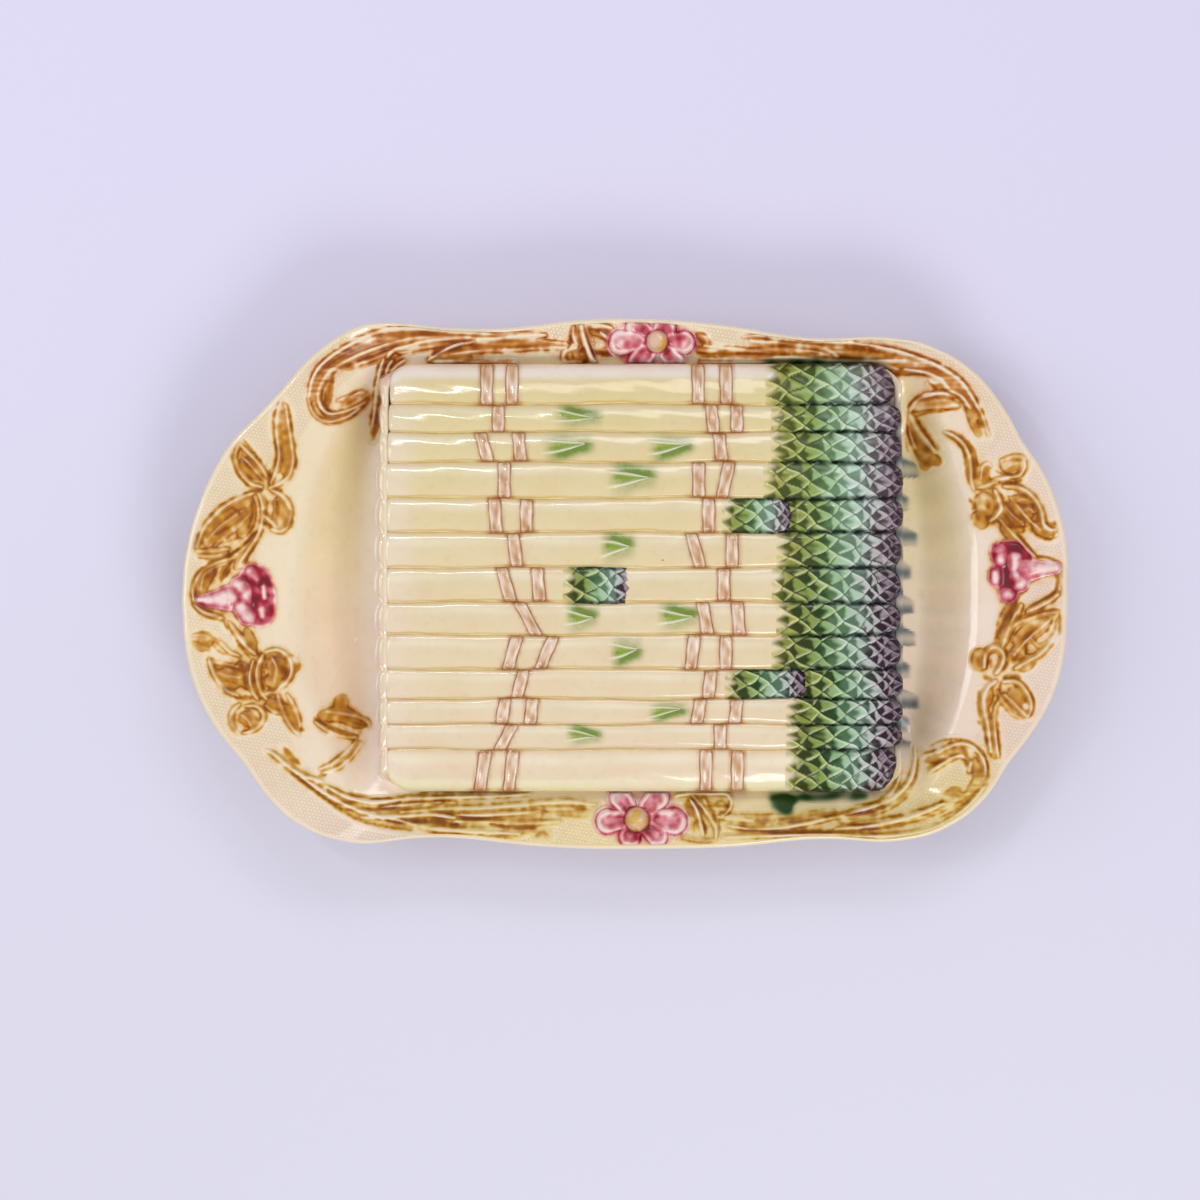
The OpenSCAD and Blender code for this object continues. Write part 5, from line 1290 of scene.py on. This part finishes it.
def row_tone(k, x, v):
    """Cream of the stalks: yellower at the back and pinker in front, ochre in the creases, rust round the
    ties and soft green beside the bracts. Painted light too: a pale painted reflection toward the butts, a
    painted highlight band along each stalk and on the outer sides of the first and last rows, painted shade
    along each stalk's back edge and a thin painted highlight in the crease at each front edge."""
    x, v = np.broadcast_arrays(x, v)
    back = 1 - (k - 1) / (ROWS - 1)
    base = blend(STALK_CREAM, STALK_GOLD, back * 0.9 + 0.12 * wave(x, 8.0 * k + 6 * v, k))
    # Painted reflection: the stalks turn paler pinkish cream toward their butts
    base = blend(base, STALK_BUTT_REFLECTION, 0.6 * smooth((-92 - x) / 14))
    # Painted highlight on the back side of the first row
    base = blend(base, STALK_BACK_HIGHLIGHT, 0.9 * smooth((v - 0.1) / 0.4) * (k == 1))
    # Painted highlight: a soft pale band along the upper third of each stalk
    highlight = bell(v - 0.52 - 0.05 * np.sin(x / 13 + k), 0.26) * (0.75 + 0.25 * np.sin(x / 9 + 2 * k))
    base = blend(base, STALK_HIGHLIGHT, 0.5 * highlight)
    # Painted shade along each stalk's back edge, beside the crease
    base = blend(base, STALK_SHADE, 0.5 * smooth((v - 0.78) / 0.15))
    seam = 0.90 + 0.02 * np.sin(x / 7 + k) + 0.015 * np.sin(x / 2.3 + 2 * k)
    line = bell(-v - seam, 0.045) * (0.75 + 0.2 * np.sin(x / 11 + 3 * k))
    line = line + 0.6 * smooth((v - seam - 0.04) / 0.06)
    tone = blend(base, CREASE_OCHRE, 0.95 * line)
    # Painted highlight: a thin pale line in the crease at each stalk's front edge
    tone = blend(tone, CREASE_HIGHLIGHT, 0.9 * smooth((-v - seam - 0.045) / 0.03))
    # Painted highlight on the front side of the last row
    tone = blend(tone, STALK_FRONT_HIGHLIGHT, 0.75 * smooth((-0.3 - v) / 0.3) * (k == ROWS))
    for row, place, lean in TIES_LEFT + TIES_RIGHT:
        if row == k:
            gap = np.abs(x - bed_x(place) + lean * TIE_HALF * v) - TIE_HALF
            rusty = smooth((np.abs(v) - 0.5) / 0.4) * 0.5 + 0.4
            tone = blend(tone, TIE_RUST, rusty * bell(np.maximum(gap, 0), 0.55) * (gap < 3))
            spill = bell(np.maximum(gap, 0), 2.2) * smooth((-v - 0.78) / 0.14) * (gap < 6)
            tone = blend(tone, TIE_SPILL, 0.7 * spill)
    for row, start, end in BRACTS:
        if row == k:
            u = (x - bed_x(start)) / (bed_x(end) - bed_x(start))
            out = (np.abs(v - bract_line(u, row)) - bract_half(u)) * 6.4
            near_tip = smooth((u - 0.05) / 0.55) * smooth((1.3 - u) / 0.3)
            side = 0.7 + 0.3 * np.sign(v - bract_line(u, row)) * (-1) ** row
            green = bell(np.maximum(out - 1.3, 0), 2.4) * near_tip * side + 0.45 * (out < 0) * near_tip
            green = 1.5 * green * (0.8 + 0.2 * wave(22 * x, 60 * v, row))
            tone = blend(tone, BRACT_SHADE, 0.95 * green)
    return tone


def bract_line(u, row):
    """Middle line of a bract across its row: it leans to the back or the front by its row."""
    return 0.10 + (0.22 * math.sin(2.4 * row)) * (u - 0.6) + 0.05 * np.sin(4 * u + row)


def bract_half(u):
    """Half width of a bract as a share of the half row: a V that closes toward the head."""
    return np.interp(u, [0, 0.15, 0.5, 0.88, 1], [0.6, 0.56, 0.36, 0.08, 0.01])


def scales(k, s, c, length, pitch):
    """Overlapping pointed scales on a diamond net, s along the head and c across it. Each one
    rises from its hidden root to a raised rim round its tip, where it drops onto the next."""
    s = s + 0.55 * np.sin(0.7 * c + 1.7 * k) + 0.7 * np.sin(0.5 * s + 2.3 * k)
    c = c + 0.4 * np.sin(0.4 * s + k)
    s = s + 1.1 * pitch * np.maximum(0, s / length - 0.5) ** 2 * 4
    net = mix(SCALE_WIDE, SCALE_WIDE_TIP, smooth((s / length - 0.6) / 0.4))
    a = s / pitch + c / net
    b = s / pitch - c / net
    fa, fb = a - np.floor(a), b - np.floor(b)
    rise = (fa + fb) / 2
    border = np.minimum(1 - fa, 1 - fb)
    root = np.minimum(fa, fb)
    which = np.floor(a) * 3.7 + np.floor(b) * 5.9
    rim = bell(border - 0.11, 0.07) * (0.5 + 0.5 * np.sin(which + k)) * smooth(rise * 2.2)
    height = (0.8 * rise**1.3 + 0.15 * rim) * smooth(border / 0.07 + 0.1)
    shade = 0.5 * np.sin(which + 2.0) + 0.35 * np.sin(1.7 * which + k)
    pool = (1.3 + shade) * smooth((0.96 - np.hypot(fa, 0.8 * fb)) / 0.66)
    pool = pool + 1.0 * bell(root, 0.07) * (1 - 0.6 * rise) + 0.9 * bell(border, 0.035) + 0.1 * shade
    pool = pool + 0.22 * np.sin(7 * fa + which) * np.sin(6 * fb + k)
    return height, np.maximum(0, pool) * (1 - 0.6 * rim), rim


def head_tone(k, f, v, pool, rim):
    """Olive at the foot of the head, then green, pale mint, and purple at the tip; the raised rims are
    paler thin glaze with a painted highlight, and the glaze is darkest where it pools at the root of each
    scale and between the rows."""
    body = ramp(HEAD_SCALE, f)
    body = body * (1 - 0.06 * smooth(k / 3) - 0.14 * smooth((k - 4) / 5))
    pool = smooth((pool - 0.18) / 0.66)
    # Raised rims: paler thin glaze with a painted highlight
    tone = blend(body, ramp(HEAD_RIM_GLAZE_AND_HIGHLIGHT, f), 0.75 * rim)
    pool = pool * mix(0.95, 0.72, smooth((f - 0.35) / 0.15) * smooth((0.76 - f) / 0.1))
    tone = blend(tone, ramp(HEAD_POOL, f), pool * mix(0.9, 1.15, smooth((k - 3) / 8)))
    edge = smooth((np.abs(v) - 0.74) / 0.17)
    edge = edge * mix(0.55, 1, smooth(f * 3)) * (0.8 + 0.2 * np.sin(40 * f))
    return blend(tone, ramp(HEAD_SIDE, f), edge)


def around(count):
    """Places from -1 to 1 across a row, closer together toward its sides."""
    return -np.cos(math.pi * np.arange(count) / (count - 1))


def spear_grid(form, k, x, v, lift, colours, grow_w, grow_h):
    """Adds one closed length of spear: x and v are grids, lift stands out from the surface."""
    y, z = spear_top(k, x, v, grow_w, grow_h)
    slope = np.sqrt(np.maximum(0, 1 - 0.8 * v**2))
    top = in_plate(x + 0.4 * lift, y + lift * v * 0.5, z + lift * slope)
    drop = top[..., 2] - bed_height(y) - 0.02
    form.sheet(top, colours, drop)


def stalk(form, k, start, end):
    """A stalk whose butt is rounded: it grows as sqrt(1 - (1 - d)^2), d the way in from its start."""
    x = np.r_[start + np.array([0, 0.12, 0.35, 0.7, 1.1, BUTT_L]),
              np.linspace(start + 2.4, end - 0.5, STALK_GRID[0]), end - 0.04, end]
    v = around(STALK_GRID[1])
    end_round = np.sqrt(1 - (1 - np.minimum((x - start) / BUTT_L, 1)) ** 2)
    xg, vg = np.meshgrid(x, v, indexing="ij")
    xg = xg + 0.5 * (vg**2) * bell(xg - start, 4.0)
    grow_w = mix(0.93, 1, end_round)[:, None]
    grow_h = mix(0.62, 1, end_round)[:, None]
    spear_grid(form, k, xg, vg, 0 * xg, row_tone(k, xg, vg), grow_w, grow_h)


def head(form, k, start, end, grid, nose_l, under=0.0):
    """A head of overlapping scales whose nose rounds off as sqrt(1 - (1 - d)^2), d the way in from
    its tip; its first stretch, under a shorter spear's nose, lies lower."""
    length = end - start
    x = np.r_[start, start + 0.04, np.linspace(start + 0.5, end - 2, grid[0]),
              end - np.array([1.6, 1.2, 0.9, 0.6, 0.35, 0.15, 0.03])]
    v = around(grid[1])
    f = (x - start) / length
    to_tip = np.minimum((end - x) / nose_l, 1)
    end_round = np.sqrt(np.maximum(0, 1 - (1 - to_tip) ** 2))
    xg, vg = np.meshgrid(x, v, indexing="ij")
    fg = f[:, None] + 0 * vg
    half = (row_line(k - 1, xg) - row_line(k, xg)) / 2
    c = half * vg + 3.3 * (k % 2) + 0.8 * math.sin(1.9 * k)
    height, pool, rim = scales(k, xg - start, c, length, SCALE_PITCH + 0.7 * math.sin(2.3 * k))
    lift = SCALE_H * height * smooth((xg - start) / 3) * (0.4 + 0.6 * end_round[:, None])
    tone = head_tone(k, fg + 0.06 * wave(5 * xg, 34 * vg, k), vg, pool, rim)
    soak = smooth((xg - start + 1.8 * np.sin(9 * vg + k) - 1.2 * vg + 1.2) / 6.5)
    tone = blend(row_tone(k, xg, vg), tone, soak)
    # Painted shade: the last millimetre of each tip darkens where it drops into its crevice
    tone = blend(tone, TIP_PAINTED_SHADE, 0.85 * smooth((0.8 - (end - xg)) / 0.9))
    low = 1 - 0.35 * smooth((under - (x - start)) / 3 + 0.5) if under else 1
    spear_grid(form, k, xg, vg, lift, tone, mix(0.05, 1, end_round)[:, None],
               (low * mix(0.2, 1, end_round))[:, None])


# Materials of the glazed pieces
cream_glaze = glaze("cream_glaze", stipple=True)
stalk_glaze = glaze("stalk_glaze", speck=0.8)
green_glaze = glaze("green_glaze", speck=0.6, bump=0.2, coat=0.18, gloss=0.3)
tie_glaze = glaze("tie_glaze", speck=0.3)
ochre_glaze = glaze("ochre_glaze", speck=0.4, bump=0.3, coat=0.1, roughness=0.24, gloss=0.25)
pink_glaze = glaze("pink_glaze", speck=0.2, coat=0.3, gloss=0.35)


def spear(k):
    """The spear of row k: its stalk and head, and the head of a shorter spear that lies on it."""
    name = f"{k:02d}"
    start, end = bed_x(BUTTS[k - 1]) - BUTT_OUT, bed_x(HEADS[k - 1])
    form = Form()
    under = 0.0
    if k in SHORT:
        first, last = (bed_x(share) for share in SHORT[k])
        stalk(form, k, start, first)
        if end - last > SHORTEST_STALK:
            stalk(form, k, last - SHORT_NOSE_L, end)
        else:
            under = UNDER_L
            end = last - under
        short = Form()
        head(short, k, first, last, SHORT_HEAD_GRID, SHORT_NOSE_L)
        short.piece("short_asparagus_head_" + name, green_glaze, "green_glaze", "short_head_" + name)
    else:
        stalk(form, k, start, end)
    form.piece("asparagus_stalk_" + name, stalk_glaze, "stalk_glaze", "stalk_" + name)
    form = Form()
    head(form, k, end, bed_x(TIPS[k - 1]) + TIP_OUT, HEAD_GRID, NOSE_L, under)
    form.piece("asparagus_head_" + name, green_glaze, "green_glaze", "head_" + name)


def ends(u, length, reach):
    """Rounding toward both ends of a form: sqrt(1 - (1 - d)^2), d the way in from an end."""
    d = np.minimum(np.minimum(u, 1 - u) * length / reach, 1)
    return np.sqrt(np.maximum(0, 1 - (1 - d) ** 2))


def ties(name, table, node):
    """Pads across the spears with two raised edges and worn pinkish-tan glaze."""
    form = Form()
    for i, (k, place, lean) in enumerate(table):
        v = np.linspace(-TIE_REACH, TIE_REACH, TIE_GRID[0])[:, None]
        w = np.linspace(-1, 1, TIE_GRID[1])[None, :]
        end = ends((v + TIE_REACH) / (2 * TIE_REACH), TIE_L, TIE_ROUND)
        across = TIE_HALF * w * mix(0.8, 1, end) * (1 + 0.05 * np.sin(4 * v + i))
        x = bed_x(place) + across - lean * TIE_HALF * v
        y, z = spear_top(k, x, v + 0 * w)
        edge = smooth((1 - np.abs(w)) / 0.28)
        ridge = bell(np.abs(w) - 0.66, 0.2)
        height = TIE_H * np.maximum(end, 0.05) * edge * (0.5 + 0.5 * ridge)
        pool = 0.4 * (1 - ridge) + 0.75 * smooth((np.abs(w) - 0.74) / 0.2)
        pool = pool + 0.5 * smooth((np.abs(v) - 0.78) / 0.16)
        pool = pool + 0.5 * wave(30 * v + 7 * i, 17 * w + 5 * i, 3.0 * i) - 0.1 * v
        form.sheet(in_plate(x, y, z + height), ramp(TIE_DEPTH, pool), height + 0.3)
    form.piece(name, tie_glaze, "tie_glaze", node)


def bracts():
    """V-shaped leaf scales on the stalks: flat in the middle, with a bell-shaped ridge near the
    edge that widens toward the tip."""
    form = Form()
    for k, start, end in BRACTS:
        u = np.linspace(0, 1, BRACT_GRID[0])[:, None]
        w = np.linspace(-1, 1, BRACT_GRID[1])[None, :]
        v = bract_line(u, k) + w * (bract_half(u) + 0.05)
        x = bed_x(mix(start, end, u)) + 0 * w
        y, z = spear_top(k, x, v)
        edge = smooth((1 - np.abs(w)) / 0.22) * ends(u, BRACT_L, BRACT_ROUND) * smooth(u / 0.4)
        ridge = bell(np.abs(w) - 0.72, 0.15 + 0.5 * u**3)
        height = BRACT_H * edge * (0.3 + 0.7 * ridge) - 0.03
        green = 0.5 * (1 - ridge) * smooth(u / 0.6) * smooth((1.1 - u) / 0.5)
        tone = blend(row_tone(k, x, v), BRACT_GREEN, green)
        tone = blend(tone, BRACT_RIM, 0.8 * ridge * smooth(u / 0.3))
        form.sheet(in_plate(x, y, z + height), tone, height + 0.25)
    form.piece("leaf_scales", ochre_glaze, "bract_glaze", "bracts")


for k in range(1, ROWS + 1):
    spear(k)
ties("left_ties", TIES_LEFT, "ties_left")
ties("right_ties", TIES_RIGHT, "ties_right")
bracts()

# Relief of the rim: stems, bows and sprays first, then the four flowers
relief = Relief()
STEMS = ["stem_back_left", "bow_back", "stem_back_right", "spray_right_upper", "spray_right_lower",
         "stem_front_right", "bow_front", "stem_front_left", "spray_left_upper", "spray_left_lower"]
BLOSSOMS = [*FLOWERS, *BLOOMS]
for i, node in enumerate(STEMS):
    relief.strokes(node, i)
for half, amount, px in GREENS:
    stem = "stem_back_right" if px[0][1] < MIDDLE_PX[1] else "stem_front_right"
    part, q = relief.near(stroke(half, px), STEMS.index(stem))
    relief.raised(relief.green, part, amount * smooth((1.7 - q) / 1.3))
for i, node in enumerate(BLOSSOMS, len(STEMS)):
    draw = relief.flower if node in FLOWERS else relief.bloom
    draw(node, i)
relief.finish()
relief.tone = relief_tone(relief)
for i, node in enumerate(STEMS + BLOSSOMS):
    kind, place = node.split("_", 1)
    look, material = ("ochre_glaze", ochre_glaze) if node in STEMS else ("pink_glaze", pink_glaze)
    relief.piece(i, f"{place}_{kind}", material, look, node)


# The shell's rings of points: a ledge under the spears as way in and share of its height, the
# walls at the ends of the bed, the wells, the lip, the underside and the hollow
RAYS = 900
RIM_PARTS = 7200
LEDGE = [(2.6, 0), (2.2, 0.7), (1.6, 0.95), (0.8, 1)]
LEDGE_DROP = 0.3
END_WALL = 12
WELL_RINGS = 64
LEFT_WALL = (2.2, 3.2)
RIGHT_WALL = (0.8, 1.8)
LIP_ANGLES = (65, 40, 15, -10, -35, -60, -80)
UNDERSIDE = (1, 0.9, 0.8, 0.7, 0.6, 0.52, 0.44, 0.36, 0.28, 0.2, 0.14, 0.07, 0)
HOLLOW = (0.0, 0.15, 0.5, 0.85, 0.97, 1.0)


def shell_rays(n):
    """Points on the rim evenly spaced along its edge, from the back round by the left."""
    a = np.radians(np.linspace(90, 450, RIM_PARTS + 1))
    p = np.stack([HALF[0] * np.cos(a), HALF[1] * np.sin(a)], axis=-1)
    p = p * rim_reach(p)[:, None]
    way = np.r_[0, np.cumsum(np.linalg.norm(np.diff(p, axis=0), axis=1))]
    places = (np.arange(n) + 0.5) / n * way[-1]
    return np.stack([np.interp(places, way, p[:, i]) for i in (0, 1)], axis=-1)


def shell():
    """The platter as rings of points on its rays: bed, scalloped end walls, wells and rim, lip,
    underside and hollow, with a cap across the bed and one across the hollow."""
    n = RAYS
    rays = shell_rays(n)
    edge = rays * bed_reach(rays)[:, None]
    lip = lip_middle(rays)
    local = edge - BED_SHIFT
    span = np.linalg.norm(lip - edge, axis=1)
    v = np.zeros(n)
    for k in range(1, ROWS + 1):
        low, high = row_y(k), row_y(k - 1)
        inside = (local[:, 1] >= low) & (local[:, 1] <= high)
        v = np.where(inside, (local[:, 1] - (low + high) / 2) / ((high - low) / 2), v)
    end_part = smooth((BED_HALF[1] - 0.5 - np.abs(local[:, 1])) / 10)
    left = edge[:, 0] < 0
    bulge = np.sqrt(np.maximum(0, 1 - 0.9 * v**2))
    walls = [least + more * bulge for least, more in (LEFT_WALL, RIGHT_WALL)]
    out = end_part * np.where(left, *walls)
    t0 = out / span
    top = bed_height(local[:, 1])
    rings = []

    def ring(plan, z):
        """Adds a ring of points at plan places and height z."""
        rings.append(np.c_[plan, np.broadcast_to(z, n)])

    butt = (EDGE_H + (SPEAR_H - EDGE_H) * bulge - LEDGE_DROP) * end_part * left
    outward = edge / np.linalg.norm(edge, axis=1)[:, None]
    for back, share in LEDGE:
        ring(edge - outward * back, top - LEDGE_DROP + (butt + LEDGE_DROP) * share)
    for q in np.linspace(0, 1, END_WALL):
        plan = mix(edge, lip, (t0 * q)[:, None])
        z = mix(top + butt * (1 - 0.5 * q * q), top_height(edge, t0), smooth(q * 1.6 - 0.6))
        ring(plan, z)
    for w in np.linspace(0, 1, WELL_RINGS)[1:]:
        t = mix(t0, 1, w)
        ring(mix(edge, lip, t[:, None]), top_height(edge, t))
    top_rings = len(rings)
    d = lip / np.linalg.norm(lip, axis=1)[:, None] * LIP_WIDE * LIP_R * LIP_LEAN
    for a in map(math.radians, LIP_ANGLES):
        ring(lip + d * math.cos(a), RIM_H - LIP_R + LIP_R * math.sin(a))
    for t in UNDERSIDE:
        ring(mix(edge, lip, t), under_height(edge, t) if t else FOOT_H)
    inner = local * (1 - SKIRT_T / BED_HALF)
    ring(inner * 1.004 + BED_SHIFT, FOOT_H)
    under = bed_height(local[:, 1]) - WALL_T
    for q in HOLLOW:
        shrink = 1 - 0.02 * smooth((q - 0.8) / 0.2)
        ring(inner * shrink + BED_SHIFT, mix(FOOT_H + HOLLOW_EDGE, under, q))
    points = np.stack(rings)
    colours = np.broadcast_to(CREAM, points.shape).copy()
    paint_top(points[:top_rings], colours[:top_rings])
    end_wall = slice(len(LEDGE), len(LEDGE) + END_WALL)
    paint_butts(colours[end_wall], v, left & (end_part > 0.1))
    rows = len(points)
    faces = [grid_faces(rows, n, True)]
    j = np.arange(n // 2 - 1)
    cap = np.stack([j, j + 1, n - 2 - j, n - 1 - j], axis=-1)
    faces += [cap, cap + (rows - 1) * n]
    form = Form()
    form.add(points, colours, faces)
    piece = form.piece("glazed_platter", cream_glaze, "cream_glaze", "platter_body")
    flat = points.reshape(-1, 3)
    t = share_at(flat[:, :2])
    mask = smooth((t - stipple_from(flat)) / 0.04) * smooth((1.0 - t) / 0.012) * (flat[:, 2] > 25)
    near = smooth((from_map(relief.gap, flat) - 1.2) / 1.5)
    layer = piece.data.attributes.new("stipple", "FLOAT", "POINT")
    layer.data.foreach_set("value", mask * near)


def from_map(values, points):
    """Map values at plan points, mixed from the four map points round each."""
    u = np.clip((points[:, 0] - MAP_X[0]) / STEP, 0, len(MAP_X) - 1.001)
    v = np.clip((points[:, 1] - MAP_Y[0]) / STEP, 0, len(MAP_Y) - 1.001)
    j, i = u.astype(int), v.astype(int)
    extra = [1] * (values.ndim - 2)
    u, v = (u - j).reshape(-1, *extra), (v - i).reshape(-1, *extra)
    return mix(mix(values[i, j], values[i, j + 1], u), mix(values[i + 1, j], values[i + 1, j + 1], u), v)


def stipple_from(flat):
    """Where the stippled band starts: 66 % of the way out at the ends, 40 % along the sides."""
    edge = flat[:, :2] * bed_reach(flat[:, :2])[:, None]
    return mix(0.66, 0.40, side_part(edge))


def paint_top(points, colours):
    """Colours of the upper side: the map of the rim, green glaze that ran down beside the heads, plain
    cream where the shell turns down over the lip or meets the bed, and painted light on the shaded well
    wall below the butts."""
    flat = points.reshape(-1, 3)
    x, y, z = flat.T
    t = share_at(flat[:, :2])
    on_map = smooth((t - 0.01) / 0.02) * smooth((0.995 - t) / 0.015)
    base = blend(rim_tone(x, y, z), from_map(relief.tone, flat), on_map)
    # Painted light: the well wall below the butts, shaded by the bed, is lightened toward pale cream
    pale = smooth((-78 - x) / 14) * smooth((x + 118) / 10) * smooth((40 - z) / 8)
    base = blend(base, WELL_PAINTED_LIGHT, 0.8 * pale)
    base = blend(base, GREEN_GREY, green_drips(x, y))
    colours[:] = base.reshape(colours.shape)


def paint_butts(colours, v, butts):
    """Colours of the wall below the stalks' butts, v across its row: painted shade as a darker arch under
    each butt, a painted shade line just inside the arch's edge and a painted highlight line along the edge."""
    way = np.linspace(0, 1, END_WALL)[:, None]
    arc = 0.95 - 0.85 * smooth((-0.2 - v) / 0.8)
    butts = butts * np.ones((END_WALL, 1))
    # Painted shade on each butt's end face, a painted shade line inside the arch, and a painted highlight
    # on its edge
    wall = blend(colours, BUTT_WALL_SHADE, 0.7 * butts * smooth((arc - way) / 0.1))
    wall = blend(wall, ARC_SHADE, 0.7 * butts * bell(way - arc + 0.16, 0.07))
    colours[:] = blend(wall, ARC_HIGHLIGHT, 0.9 * butts * bell(way - arc, 0.06))


def green_drips(x, y):
    """Grey-green glaze on the well floor beside the tips, scalloped between the rows."""
    along = x - BED_SHIFT[0] - BED_HALF[0]
    local = y - BED_SHIFT[1]
    reach = np.full(len(x), 2.0)
    for k in range(3, ROWS):
        tongue = smooth(1.7 * bell(local - row_y(k) + 0.25 * along, 4.2) - 0.2)
        reach = reach + (7.4 + 2.2 * math.sin(2.7 * k)) * tongue
    inside = smooth((reach - along) / 2.4)
    fade = smooth((80 - np.abs(local)) / 10) * (along > -20)
    return 0.95 * inside * fade * (0.7 + 0.3 * np.sin(local / 1.3))


shell()

# The unglazed foot keeps its CAD mesh, with the look of fired clay
foot = bpy.data.objects["foot_ring"]
biscuit = Shader("biscuit")
grain = biscuit.noise(900, 4)
cloudy = 0.3 * biscuit.between(biscuit.noise(40, 3), 0.3, 0.7)
tint = biscuit.mixed(cloudy, solid(BISCUIT), solid(BISCUIT_DARK))
biscuit.put(biscuit.main.inputs["Base Color"], tint)
biscuit.main.inputs["Roughness"].default_value = 0.85
rough = biscuit.node("ShaderNodeBump", {"Strength": 0.3, "Distance": 0.0004, "Height": grain})
biscuit.put(biscuit.main.inputs["Normal"], rough.outputs[0])
foot.data.materials.clear()
foot.data.materials.append(biscuit.material)

# Floor and lights
bpy.ops.mesh.primitive_plane_add(size=6)
floor = bpy.context.object
floor.name = "floor"
paper = Shader("paper")
along = paper.node("ShaderNodeSeparateXYZ", {"Vector": paper.place()}).outputs[1]
shade = paper.between(Value(paper, along), -0.26, 0.26)
tint = paper.mixed(shade, solid(PAPER_FRONT), solid(PAPER_BACK))
paper.put(paper.main.inputs["Base Color"], tint)
paper.main.inputs["Roughness"].default_value = 0.9
paper.main.inputs["Specular IOR Level"].default_value = 0.1
floor.data.materials.append(paper.material)

world = bpy.data.worlds.new("world")
bpy.context.scene.world = world
world.use_nodes = True
sky = world.node_tree.nodes["Background"]
sky.inputs["Color"].default_value = (0.93, 0.92, 0.98, 1)
sky.inputs["Strength"].default_value = 0.59


def softbox(name, place, width, height, power):
    """An area light that faces the plate; sizes in metres and power in watts."""
    data = bpy.data.lights.new(name, "AREA")
    data.shape = "RECTANGLE"
    data.size, data.size_y = width, height
    data.energy = power
    light = bpy.data.objects.new(name, data)
    light.location = place
    x, y, z = place
    flat = math.hypot(x, y)
    light.rotation_euler = (math.atan2(flat, z), 0, math.atan2(x, -y) if flat else 0)
    bpy.context.scene.collection.objects.link(light)


softbox("back_right", (0.42, 0.98, 1.15), 1.0, 0.36, 3.3)
softbox("back_left_glint", (-0.17, 0.93, 1.2), 0.16, 0.05, 0.7)
softbox("left", (-1.1, 0.15, 1.0), 0.5, 0.9, 3.9)
softbox("left_window", (-0.62, 0.42, 1.25), 0.07, 0.3, 1.2)
softbox("front_right", (0.5, -1.2, 1.0), 0.8, 0.5, 9.5)
